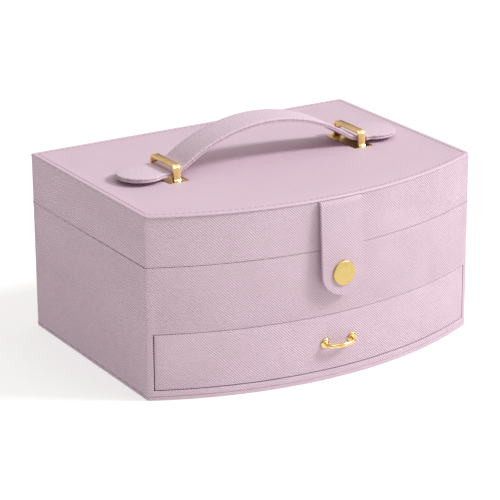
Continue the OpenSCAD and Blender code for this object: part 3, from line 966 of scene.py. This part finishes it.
def swell(obj, pressure, cap, pinned=None, frames=20):
    """Cloth under pressure, applied to the mesh; no point moves further than the cap."""
    alone(obj)
    before = [v.co.copy() for v in obj.data.vertices]
    cloth = obj.modifiers.new("cloth", "CLOTH")
    cloth.settings.use_pressure = True
    cloth.settings.uniform_pressure_force = pressure
    cloth.settings.effector_weights.gravity = 0
    cloth.settings.quality = 5
    cloth.settings.tension_stiffness = 30
    cloth.settings.bending_stiffness = 2
    cloth.collision_settings.use_collision = False
    if pinned:
        group = obj.vertex_groups.new(name="pinned")
        group.add([v.index for v in obj.data.vertices if pinned(v.co)], 1.0, "REPLACE")
        cloth.settings.vertex_group_mass = group.name
    for frame_number in range(1, frames + 1):
        bpy.context.scene.frame_set(frame_number)
    bpy.ops.object.modifier_apply(modifier=cloth.name)
    furthest = 0.0
    for vertex, rest in zip(obj.data.vertices, before):
        move = vertex.co - rest
        furthest = max(furthest, move.length)
        if move.length > cap:
            vertex.co = rest + move * (cap / move.length)
    bpy.context.scene.frame_set(1)
    print(obj.name, "moved up to mm", round(furthest / MM, 2), "cap", cap / MM)


def pad_pinned(p):
    return p.z < PAD_TOP - 0.15 * MM or depth_in(p) < SEWN_IN + 1 * MM or on_plate(p, 1.2 * MM)


swell(pad, 3.0, PAD_RISE, pad_pinned)
lay_grain(pad)
finish_piece(
    pad, "lid_top_leather", "lid", pad_leather, ["lid_top_cover"]
)

# %% [markdown]
# ## Stitches
# A line of stitches runs round the padded top, in thread of the leather's hue, painted
# darker: partly the thread's own tone, partly painted shade of the stitch holes. One
# stitch is a six-sided bar, cut near its ends and pinched there. It is copied along
# the four sides, and the copies are joined.

# %% Thread
thread_finish, thread_tree, thread_shader = shader("thread", Roughness=0.6, Sheen_Weight=0.3)
thread_place = object_place(thread_tree)
strands = node(
    thread_tree, "TexWave", {"Vector": thread_place, "Scale": 900.0, "Distortion": 1.0},
    bands_direction="DIAGONAL",
)
# Painted shade: the thread's colour is darker than the leather, partly its own tone and partly the shade of the
# stitch holes.
thread_tree.links.new(
    ramp(thread_tree, strands, (0.2, (0.36, 0.22, 0.28)), (0.8, (0.56, 0.40, 0.47))),
    thread_shader.inputs["Base Color"],
)
strand_bump = node(
    thread_tree, "Bump", {"Height": strands, "Strength": 0.5, "Distance": 0.1 * MM}
)
thread_tree.links.new(strand_bump, thread_shader.inputs["Normal"])

# %% Stitches
STITCH_PITCH = 4.4 * MM
STITCH_LONG = 3.3 * MM
THREAD_R = 0.36 * MM
STITCH_Z = PAD_TOP - 0.32 * MM

bpy.ops.object.select_all(action="DESELECT")
bpy.ops.mesh.primitive_cylinder_add(
    vertices=6, radius=THREAD_R, depth=STITCH_LONG, rotation=(0, math.pi / 2, 0)
)
stitch = bpy.context.object
bpy.ops.object.transform_apply(rotation=True)
edit(stitch)
for end in (-1, 1):
    cut((end * STITCH_LONG * 0.36, 0, 0), (1, 0, 0))
    pick("VERT", lambda p: p.x * end > STITCH_LONG * 0.49)
    bpy.ops.transform.resize(value=(1, 0.45, 0.45))
    bpy.ops.transform.translate(value=(0, 0, -THREAD_R * 0.8))
bpy.ops.object.mode_set(mode="OBJECT")


def row(a, b, count):
    """Places and headings evenly along a straight side."""
    heading = math.atan2(b.y - a.y, b.x - a.x)
    return [(a.lerp(b, (i + 0.5) / count), heading) for i in range(count)]


inset = SEWN_IN - OVERHANG
half = HALF_W - inset
corner_y = arc_y(half, inset)
rear = BACK - inset
rows = []
for side in (-1, 1):
    a, b = Vector((side * half, corner_y, 0)), Vector((side * half, rear, 0))
    rows += row(a, b, round((rear - corner_y) / STITCH_PITCH))
rows += row(Vector((-half, rear, 0)), Vector((half, rear, 0)), round(2 * half / STITCH_PITCH))
sweep = 2 * math.asin(half / (ARC_R - inset))
count = round(sweep * (ARC_R - inset) / STITCH_PITCH)
for i in range(count):
    angle = sweep * ((i + 0.5) / count - 0.5)
    place = Vector((math.sin(angle), -math.cos(angle), 0)) * (ARC_R - inset)
    rows.append((place + Vector((0, ARC_Y, 0)), angle))

copies = []
for place, heading in rows:
    copy = stitch.copy()
    copy.data = stitch.data.copy()
    bpy.context.collection.objects.link(copy)
    copy.data.transform(
        Matrix.Translation((place.x, place.y, STITCH_Z)) @ Matrix.Rotation(heading, 4, "Z")
    )
    copies.append(copy)
bpy.data.objects.remove(stitch)
joined(copies)
finish_piece(copies[0], "lid_top_stitches", "lid", thread_finish)
print("stitches:", len(rows))

# %% [markdown]
# ## The carrying strap
# A leather strap in an arch, whose level ends run into the round tabs. It is drawn as
# one sheet at half its thickness: a point spun round the two fillets and the arch, then
# extruded to the strap's width. The thickness stays a live Solidify. A darker,
# slightly wider sheet inside shows as the glued edge between the strap's two layers.

# %% The carrying strap
strap_lo, strap_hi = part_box("handle_strap")
HANDLE_Y = (strap_lo.y + strap_hi.y) / 2
STRAP_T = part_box("handle_tab_left")[1].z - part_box("handle_tab_left")[0].z
MID_Z = strap_lo.z + STRAP_T / 2
FILLET_R = 25 * MM + STRAP_T / 2
ARCH_R = 116.5 * MM - STRAP_T / 2
ARCH_Z = strap_hi.z - STRAP_T / 2 - ARCH_R
ARCH_ANGLE = math.acos((MID_Z + FILLET_R - ARCH_Z) / (ARCH_R + FILLET_R))
FLAT_X = (ARCH_R + FILLET_R) * math.sin(ARCH_ANGLE)
TONGUE = 8 * MM


def strap_sheet(name, width):
    """The strap's middle surface, from tongue to tongue."""
    ahead = Vector((0, 1, 0))
    obj = start_point(name, (-FLAT_X - TONGUE, HANDLE_Y - width / 2, MID_Z))
    extrude(x=TONGUE)
    spin(10, -ARCH_ANGLE, (-FLAT_X, 0, MID_Z + FILLET_R), ahead)
    spin(40, 2 * ARCH_ANGLE, (0, 0, ARCH_Z), ahead)
    spin(10, -ARCH_ANGLE, (FLAT_X, 0, MID_Z + FILLET_R), ahead)
    extrude(x=TONGUE)
    for step in range(6):
        if step == 0:
            bpy.ops.mesh.select_all(action="SELECT")
        extrude(y=width / 6)
    merge()
    pick("FACE", lambda c, n: n.z < 0)
    bpy.ops.mesh.flip_normals()
    bpy.ops.object.mode_set(mode="OBJECT")
    return obj


def live_thickness(obj, thickness, rounding):
    solid = obj.modifiers.new("thickness", "SOLIDIFY")
    solid.thickness = thickness
    solid.offset = 0
    solid.use_even_offset = True
    if rounding:
        soft = obj.modifiers.new("rounded edges", "BEVEL")
        soft.width = rounding
        soft.segments = 3
        soft.limit_method = "ANGLE"
        soft.angle_limit = math.radians(50)


def strap_grain(p, n):
    return p.x * 1.02, p.y


strap_width = strap_hi.y - strap_lo.y
edge_finish, edge_tree, edge_shader = shader("leather_edge", Roughness=0.7)
edge_place = object_place(edge_tree)
edge_fibres = node(edge_tree, "TexNoise", {"Vector": edge_place, "Scale": 1800.0, "Detail": 4.0})
edge_tree.links.new(
    ramp(edge_tree, edge_fibres, (0.3, (0.17, 0.075, 0.11)), (0.7, (0.30, 0.16, 0.20))),
    edge_shader.inputs["Base Color"],
)

strap = strap_sheet("handle_strap_leather", strap_width - 0.2 * MM)
live_thickness(strap, STRAP_T - 0.1 * MM, 0.45 * MM)
strap_edge = strap_sheet("handle_strap_edge", strap_width - 0.1 * MM)
live_thickness(strap_edge, 0.3 * MM, 0)
for obj, name, finish, stands_for in (
    (strap, "handle_strap_leather", strap_leather, ["handle_strap"]),
    (strap_edge, "handle_strap_edge", edge_finish, []),
):
    lay_grain(obj, strap_grain)
    finish_piece(obj, name, "lid", finish, stands_for)
    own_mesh(obj)
print("arch angle", round(math.degrees(ARCH_ANGLE), 2), "level from x", round(FLAT_X, 5))

# %% [markdown]
# ## The round tabs
# Each end of the strap is sewn between the two layers of a round tab. One layer is a
# circle whose inner part is cut away and drawn out into the neck, filled, extruded and
# rounded. The second layer is a copy, with the dark glued edge between them.

# %% The round tabs
tab_lo, tab_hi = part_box("handle_tab_left")
TAB_R = (tab_hi.y - tab_lo.y) / 2
TAB_X = tab_lo.x + TAB_R
LAYER = 1.42 * MM


def tab_layer(name, low, high, shrink, rounding):
    """One layer of the left tab between two heights."""
    radius = TAB_R - shrink
    neck = strap_width / 2 - shrink
    reach = math.sqrt(radius**2 - neck**2)
    bpy.ops.object.select_all(action="DESELECT")
    bpy.ops.mesh.primitive_circle_add(
        vertices=96, radius=radius, location=(TAB_X, HANDLE_Y, low)
    )
    obj = bpy.context.object
    obj.name = name
    bpy.ops.object.transform_apply(location=True)
    edit(obj)
    pick("VERT", lambda p: p.x > TAB_X + reach)
    bpy.ops.mesh.delete(type="VERT")
    ends = [v.co.copy() for v in bmesh.from_edit_mesh(obj.data).verts]
    right = max(p.x for p in ends)
    pick("VERT", lambda p: abs(p.x - right) < NEAR)
    extrude(x=tab_hi.x - right)
    bpy.ops.mesh.select_all(action="SELECT")
    bpy.ops.mesh.edge_face_add()
    extrude(z=high - low)
    outward()
    if rounding:
        pick("EDGE", lambda a, b: abs(a.z - b.z) < NEAR
             and min(a.x, b.x) < tab_hi.x - NEAR and (a - b).length < 40 * MM)
        bevel(rounding, 3)
    bpy.ops.object.mode_set(mode="OBJECT")
    return obj


def mirrored(obj, name):
    """A copy on the other side, with its own mesh and its faces outwards again."""
    copy = obj.copy()
    copy.data = obj.data.copy()
    copy.name = name
    bpy.context.collection.objects.link(copy)
    alone(copy)
    bpy.ops.object.mode_set(mode="EDIT")
    bpy.ops.mesh.select_all(action="SELECT")
    bpy.ops.transform.resize(value=(-1, 1, 1), center_override=(0, 0, 0))
    bpy.ops.mesh.flip_normals()
    bpy.ops.object.mode_set(mode="OBJECT")
    return copy


lower = tab_layer("lower", tab_lo.z, tab_lo.z + LAYER, 0.0, 0.4 * MM)
upper = tab_layer("upper", tab_hi.z - LAYER, tab_hi.z, 0.0, 0.4 * MM)
tab = joined([lower, upper])
core = tab_layer("core", tab_lo.z + LAYER - 0.3 * MM, tab_hi.z - LAYER + 0.3 * MM, 0.35 * MM, 0)
tabs = [
    (tab, "handle_tab_left_leather", strap_leather, "tab_left", ["handle_tab_left"]),
    (core, "handle_tab_left_edge", edge_finish, "tab_left", []),
]
for obj, name, finish, body, stands_for in tabs:
    other = mirrored(obj, name.replace("left", "right"))
    far = [n.replace("left", "right") for n in stands_for]
    for one, its_name, its_body, its_nodes in (
        (obj, name, body, stands_for),
        (other, other.name, "tab_right", far),
    ):
        lay_grain(one, strap_grain)
        finish_piece(one, its_name, its_body, finish, its_nodes)

# %% [markdown]
# ## The flap
# A leather tongue sewn under the padded top's front edge. It turns down over the edge
# and snaps to the case. The round end is half a circle, filled; its straight edge is
# extruded up in short steps, spun round the bend and run back as the root.

# %% The flap
flap_joint = [j for j in frame["joints"] if j["name"] == "flap_hinge"][0]
FLAP_PIVOT = Vector(flap_joint["pos_m"])
FLAP_LEAN = math.radians(3)
FLAP_T = 2 * MM
SNAP_Z = 77 * MM
on_flap = Matrix.Translation(FLAP_PIVOT) @ Matrix.Rotation(-FLAP_LEAN, 4, "X")
DROP = (FLAP_PIVOT.z - SNAP_Z) / math.cos(FLAP_LEAN)
UP = on_flap.to_3x3() @ Vector((0, 0, 1))
OUT = on_flap.to_3x3() @ Vector((0, -1, 0))
BEND_R = 1.4 * MM
FLAP_ROUND = 0.94
BEND_TOP = 0.85 * MM
root_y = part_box("flap_root")[1].y

bpy.ops.object.select_all(action="DESELECT")
bpy.ops.mesh.primitive_circle_add(
    vertices=64, radius=FLAP_HALF - 0.2 * MM, location=on_flap @ Vector((0, 0, -DROP)),
    rotation=(math.pi / 2 - FLAP_LEAN, 0, 0),
)
flap = bpy.context.object
flap.name = "flap_leather"
bpy.ops.object.transform_apply(location=True, rotation=True)
edit(flap)
centre_z = (on_flap @ Vector((0, 0, -DROP))).z
pick("VERT", lambda p: p.z > centre_z + NEAR)
bpy.ops.mesh.delete(type="VERT")
bpy.ops.mesh.select_all(action="SELECT")
bpy.ops.mesh.edge_face_add()
bpy.ops.transform.resize(value=(1, 1, FLAP_ROUND), center_override=(0, 0, centre_z))
pick("EDGE", lambda a, b: min(a.z, b.z) > centre_z - NEAR)
straight = DROP - BEND_TOP - BEND_R
plain = straight - 24 * MM
for step in [plain] + [24 * MM / 20] * 20:
    extrude(*(UP * step))
top_edge = on_flap @ Vector((0, 0, -BEND_TOP - BEND_R))
bend_centre = top_edge - OUT * BEND_R
spin(8, math.pi / 2 - FLAP_LEAN, bend_centre, (-1, 0, 0))
level_y = min(v.co.y for v in bmesh.from_edit_mesh(flap.data).verts if v.select)
extrude(y=root_y - level_y)
merge()
pick("FACE", lambda c, n: n.dot(OUT) < -0.1 or n.z < -0.9)
bpy.ops.mesh.flip_normals()
bpy.ops.object.mode_set(mode="OBJECT")
print("flap sheet top z", round(max(v.co.z for v in flap.data.vertices), 5))
apply_modifier(flap, "SOLIDIFY", thickness=FLAP_T, offset=1)
edit(flap)
outward()
root_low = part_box("flap_root")[0].z
pick("VERT", lambda p: p.z > root_low - 1.2 * MM and p.z < root_low and p.y > FRONT)
bpy.ops.transform.translate(value=(0, 0, 1.05 * MM))
pick_sharp(60, lambda a, b: max(a.y, b.y) < FRONT + 2 * MM)
bevel(0.55 * MM, 3)
outward()
bpy.ops.object.mode_set(mode="OBJECT")


def flap_sheet(p, n):
    """The flap's grain runs down the flap."""
    return p.x + 0.4, p.z - max(p.y - FRONT, 0)


alone(flap)
bpy.ops.object.shade_smooth_by_angle(angle=SMOOTH_ANGLE)
lay_grain(flap, flap_sheet)
flap.data.name = flap.name
flap.data.materials.clear()
flap.data.materials.append(chest_leather)
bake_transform(flap)
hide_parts("flap_strap", "flap_root")
print("flap", len(flap.data.polygons), "faces")

# %% [markdown]
# ## The snap's cap
# A flat brass button with a rolled rim. A disc is turned to the flap's face, its rim is
# rounded with a bevel, and the face is inset and raised a hair, so that it catches the
# light as a pressed cap does.

# %% The snap's cap
CAP_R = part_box("snap_cap")[1].x
CAP_H = 1.6 * MM

bpy.ops.object.select_all(action="DESELECT")
bpy.ops.mesh.primitive_cylinder_add(
    vertices=96, radius=CAP_R, depth=CAP_H,
    location=on_flap @ Vector((0, -FLAP_T - CAP_H / 2, -DROP)),
    rotation=(math.pi / 2 - FLAP_LEAN, 0, 0),
)
cap = bpy.context.object
bpy.ops.object.transform_apply(location=True, rotation=True)
edit(cap)
face_centre = on_flap @ Vector((0, -FLAP_T - CAP_H, -DROP))


def on_cap_face(p):
    return (p - face_centre).dot(OUT) > -NEAR


pick("EDGE", lambda a, b: on_cap_face(a) and on_cap_face(b))
bevel(0.75 * MM, 5)
for step, rise in ((0.5 * MM, -0.10 * MM), (0.6 * MM, 0.10 * MM), (2.4 * MM, 0.08 * MM)):
    pick("FACE", lambda c, n: n.dot(OUT) > 0.99 and (c - face_centre).length < 1 * MM)
    bpy.ops.mesh.inset(thickness=step, depth=rise)
outward()
bpy.ops.object.mode_set(mode="OBJECT")
finish_piece(cap, "snap_cap_brass", "flap", satin_brass, ["snap_cap"])

# %% [markdown]
# ## Handle plates and loops
# Two pressed plates lie in the padded top, each with a bent bar over the strap. The
# plate is a rounded rectangle with a raised rim. The bar's shape is drawn from the side
# point by point, filled, extruded to its width and its edges bevelled flat, which gives
# the bright lines along them.

# %% Handle plates
plate_lo, plate_hi = plate_boxes[0]
bpy.ops.object.select_all(action="DESELECT")
bpy.ops.mesh.primitive_plane_add(
    size=1, location=((plate_lo.x + plate_hi.x) / 2, HANDLE_Y, plate_lo.z)
)
plate = bpy.context.object
plate.scale = (plate_hi.x - plate_lo.x, plate_hi.y - plate_lo.y, 1)
bpy.ops.object.transform_apply(location=True, scale=True)
edit(plate)
bpy.ops.mesh.select_all(action="SELECT")
bpy.ops.mesh.bevel(offset=2 * MM, segments=8, affect="VERTICES")
bpy.ops.mesh.select_all(action="SELECT")
extrude(z=plate_hi.z - plate_lo.z)
outward()
pick("FACE", lambda c, n: n.z > 0.9)
bpy.ops.mesh.inset(thickness=0.75 * MM, depth=0)
bpy.ops.mesh.inset(thickness=0.35 * MM, depth=-0.3 * MM)
pick_sharp(40)
bevel(0.14 * MM, 2)
bpy.ops.object.mode_set(mode="OBJECT")

# %% Handle loops
loop_lo, loop_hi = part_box("handle_loop_left")
FLARE = 1.2 * MM
LOOP_HALF = (loop_hi.y - loop_lo.y) / 2 - FLARE
LOOP_T = 2 * MM
FOOT_Z = plate_hi.z - 0.25 * MM
MITRE = 2 * MM
inside_half = LOOP_HALF - LOOP_T
inside_top = loop_hi.z - LOOP_T
INNER_MITRE = 0.7 * MM
half_profile = [
    (inside_half, FOOT_Z), (inside_half, inside_top - INNER_MITRE),
    (inside_half - INNER_MITRE, inside_top),
]
outer_profile = [
    (LOOP_HALF - MITRE, loop_hi.z), (LOOP_HALF, loop_hi.z - MITRE),
    (LOOP_HALF, FOOT_Z + FLARE), (LOOP_HALF + FLARE, FOOT_Z),
]
outline = outer_profile + half_profile
outline += [(-y, z) for y, z in reversed(half_profile)]
outline += [(-y, z) for y, z in reversed(outer_profile)]
bar = trace("loop", [(loop_lo.x, HANDLE_Y + y, z) for y, z in outline])
extrude(x=loop_hi.x - loop_lo.x)
outward()
pick_sharp(30)
bevel(0.2 * MM, 2)
outward()
bpy.ops.object.mode_set(mode="OBJECT")


for obj, left, node_name in (
    (plate, "handle_plate_left_brass", "handle_plate_left"),
    (bar, "handle_loop_left_brass", "handle_loop_left"),
):
    twin = mirrored(obj, left.replace("left", "right"))
    finish_piece(obj, left, "lid", polished_brass, [node_name], 0.5)
    finish_piece(
        twin, left.replace("left", "right"), "lid", polished_brass,
        [node_name.replace("left", "right")], 0.5,
    )

# %% [markdown]
# ## The drawer's pull
# A bowed brass bar between two round bases. Rings of different size are set along the
# bar's line in edit mode and bridged one to the next: slim where the bar leaves its
# base, thicker in the middle. The bases are discs whose fronts are inset and drawn out.

# %% The drawer's pull
HALF_SPAN = 10.7
PULL_X = HALF_SPAN * MM
PULL_Z = 26.8 * MM
PULL_DIP = math.radians(12)
ROSETTE_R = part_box("drawer_pull")[1].x - PULL_X
from_drawer = Matrix.Translation((0, FRONT, PULL_Z)) @ Matrix.Rotation(PULL_DIP, 4, "X")


def tube(name, sections, sides=20):
    """Rings at (place, direction, radius), bridged in turn and capped."""
    obj = start_point(name, sections[0][0])
    bpy.ops.mesh.select_all(action="SELECT")
    bpy.ops.mesh.delete(type="VERT")
    for number, (place, way, radius) in enumerate(sections):
        bpy.ops.mesh.select_all(action="DESELECT")
        bpy.ops.mesh.primitive_circle_add(
            vertices=sides, radius=radius, location=place,
            rotation=Vector(way).to_track_quat("Z", "X").to_euler(),
        )
        if number:
            mesh = bmesh.from_edit_mesh(obj.data)
            mesh.verts.ensure_lookup_table()
            last = len(mesh.verts) - 2 * sides
            for edge in mesh.edges:
                a, b = (v.index for v in edge.verts)
                if min(a, b) >= last and (a < last + sides) == (b < last + sides):
                    edge.select_set(True)
            bmesh.update_edit_mesh(obj.data)
            bpy.ops.mesh.bridge_edge_loops()
    bpy.ops.mesh.select_all(action="DESELECT")
    bpy.ops.mesh.select_mode(type="EDGE")
    bpy.ops.mesh.select_non_manifold()
    bpy.ops.mesh.edge_face_add()
    outward()
    bpy.ops.object.mode_set(mode="OBJECT")
    return obj


def pull_section(x, out, heading, radius):
    """A ring of the bar; heading turns from straight out (0) to along the chest (90)."""
    place = from_drawer @ Vector((x, -out, 0))
    turned = math.radians(heading)
    way = from_drawer.to_3x3() @ Vector((math.sin(turned), -math.cos(turned), 0))
    return place, way, radius


LEG = 2.1
BEND = 3.1
BEND_TURN = 78
half_bar = [(-HALF_SPAN, 0.8, 0, 1.2), (-HALF_SPAN, LEG, 0, 1.25)]
for step in range(1, 8):
    heading = BEND_TURN * step / 7
    turned = math.radians(heading)
    half_bar.append((
        -HALF_SPAN + BEND * (1 - math.cos(turned)), LEG + BEND * math.sin(turned),
        heading, 1.25 + 0.2 * step / 7,
    ))
end_x, end_out = half_bar[-1][0], half_bar[-1][1]
for step in range(1, 7):
    share = step / 6
    x = end_x * (1 - share)
    out = end_out + (6.25 - end_out) * math.sin(share * math.pi / 2)
    half_bar.append((x, out, BEND_TURN + 12 * share, 1.45 + 0.3 * share))
other_half = [(-x, out, 180 - heading, r) for x, out, heading, r in reversed(half_bar[:-1])]
pull_bar = tube(
    "pull_bar",
    [pull_section(x * MM, out * MM, heading, r * MM)
     for x, out, heading, r in half_bar + other_half],
)
rosettes = []
for side in (-1, 1):
    base_y = arc_y(PULL_X)
    bpy.ops.object.select_all(action="DESELECT")
    bpy.ops.mesh.primitive_cylinder_add(
        vertices=48, radius=ROSETTE_R, depth=1.0 * MM,
        location=(side * PULL_X, base_y - 0.1 * MM, PULL_Z), rotation=(math.pi / 2, 0, 0),
    )
    rosette = bpy.context.object
    bpy.ops.object.transform_apply(location=True, rotation=True)
    edit(rosette)
    for step, rise in ((0.35, 0.45), (0.5, 0.3), (0.55, 0.05), (0.45, -0.12), (0.3, 0.5), (0.25, 0.06)):
        pick("FACE", lambda c, n: n.y < -0.99 and abs(c.x - side * PULL_X) < NEAR)
        bpy.ops.mesh.inset(thickness=step * MM, depth=rise * MM)
    outward()
    bpy.ops.object.mode_set(mode="OBJECT")
    rosettes.append(rosette)
pull = joined([pull_bar] + rosettes)
finish_piece(
    pull, "drawer_pull_brass", "drawer", polished_brass, ["drawer_pull"],
    math.radians(50),
)

# %% [markdown]
# ## Velvet-covered parts
# The tray's walls, the dividers and the linings are boards covered with velvet, so no
# edge on them is sharp. Each one starts as a copy of its CAD shape: the loose triangles
# are merged, flat areas are dissolved into single faces, and the edges are rounded.

# %% Velvet-covered parts


def softened(node_name, rounding, segments=3):
    """A copy of a CAD node with merged faces and rounded edges."""
    source = nodes[node_name]
    copy = source.copy()
    copy.data = source.data.copy()
    copy.parent = None
    copy.name = node_name + "_soft"
    for key in list(copy.keys()):
        del copy[key]
    bpy.context.collection.objects.link(copy)
    copy.hide_render = False
    copy.hide_viewport = False
    edit(copy)
    merge(0.005 * MM)
    bpy.ops.mesh.dissolve_limited(angle_limit=math.radians(1))
    found = pick_sharp(35)
    bevel(rounding, segments)
    bpy.ops.object.mode_set(mode="OBJECT")
    print(node_name, "edges rounded:", found)
    return copy


velvet_parts = {
    "tray_liner": 0.5, "tray_floor": 0.3, "tray_divider_long": 1.3,
    "tray_divider_rings": 1.3, "tray_divider_back": 1.3, "tray_dividers_front": 1.3,
    "lid_lining": 1.0, "drawer_lining": 0.45, "drawer_divider_long": 1.1,
    "drawer_dividers_cross": 1.1,
}
body_of_node = {
    name: body
    for body, names in frame["record"]["behaviour"]["bodies"].items()
    for name in names
}
for node_name, rounding in velvet_parts.items():
    soft = softened(node_name, rounding * MM)
    finish_piece(
        soft, node_name + "_velvet", body_of_node[node_name], pink_velvet,
        [node_name],
    )

# %% [markdown]
# ## Ring rolls
# Six soft rolls stand side by side, and rings are pressed into the slots between them.
# A roll is foam in velvet: its end is drawn from a point, spun over the top, extruded to
# its length and remeshed finely. The cloth solver blows it up a little. One roll is made
# and copied.

# %% Ring rolls
roll_boxes = {f"ring_roll_{i}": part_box(f"ring_roll_{i}") for i in range(1, 7)}
first_lo, first_hi = roll_boxes["ring_roll_1"]
SLACK = 0.45 * MM
roll_r = (first_hi.y - first_lo.y) / 2 - SLACK
roll_y = (first_hi.y + first_lo.y) / 2
roll_top = first_hi.z - SLACK - roll_r
roll = start_point("roll", (first_lo.x + SLACK, roll_y - roll_r, first_lo.z + 0.1 * MM))
extrude(z=roll_top - first_lo.z - 0.1 * MM)
spin(16, math.pi, (first_lo.x, roll_y, roll_top), (-1, 0, 0))
extrude(z=first_lo.z + 0.1 * MM - roll_top)
merge()
bpy.ops.mesh.select_all(action="SELECT")
bpy.ops.mesh.edge_face_add()
extrude(x=first_hi.x - first_lo.x - 2 * SLACK)
outward()
pick_sharp(60, lambda a, b: max(a.z, b.z) > first_lo.z + 1 * MM)
bevel(1.2 * MM, 3)
bpy.ops.object.mode_set(mode="OBJECT")
apply_modifier(roll, "REMESH", mode="VOXEL", voxel_size=2.6 * MM)
swell(roll, 4.0, 0.4 * MM, lambda p: p.z < first_lo.z + 1.5 * MM)
apply_modifier(roll, "SUBSURF", levels=1, render_levels=1)
for name, (low, high) in roll_boxes.items():
    copy = roll.copy()
    copy.data = roll.data.copy()
    bpy.context.collection.objects.link(copy)
    copy.data.transform(Matrix.Translation((0, low.y - first_lo.y, 0)))
    finish_piece(copy, name + "_velvet", "case", pink_velvet, [name])
bpy.data.objects.remove(roll)

# %% [markdown]
# ## Finishes for the CAD parts
# What keeps its CAD shape gets its finish here: boards under the leather, brass hinges
# and snap, steel screws and nuts, the mirror.

# %% Finishes for the CAD parts
finishes = {
    "hinge": polished_brass, "snap": satin_brass, "pull_nuts": zinc_steel,
    "handle_backings": zinc_steel, "lid_mirror": silvered_glass,
}
for name, obj in nodes.items():
    finish = next((f for start, f in finishes.items() if name.startswith(start)), lined_board)
    if name.endswith("screws"):
        finish = zinc_steel
    obj.data.materials.clear()
    obj.data.materials.append(finish)
print("CAD parts shown:", sum(not obj.hide_render for obj in nodes.values()))
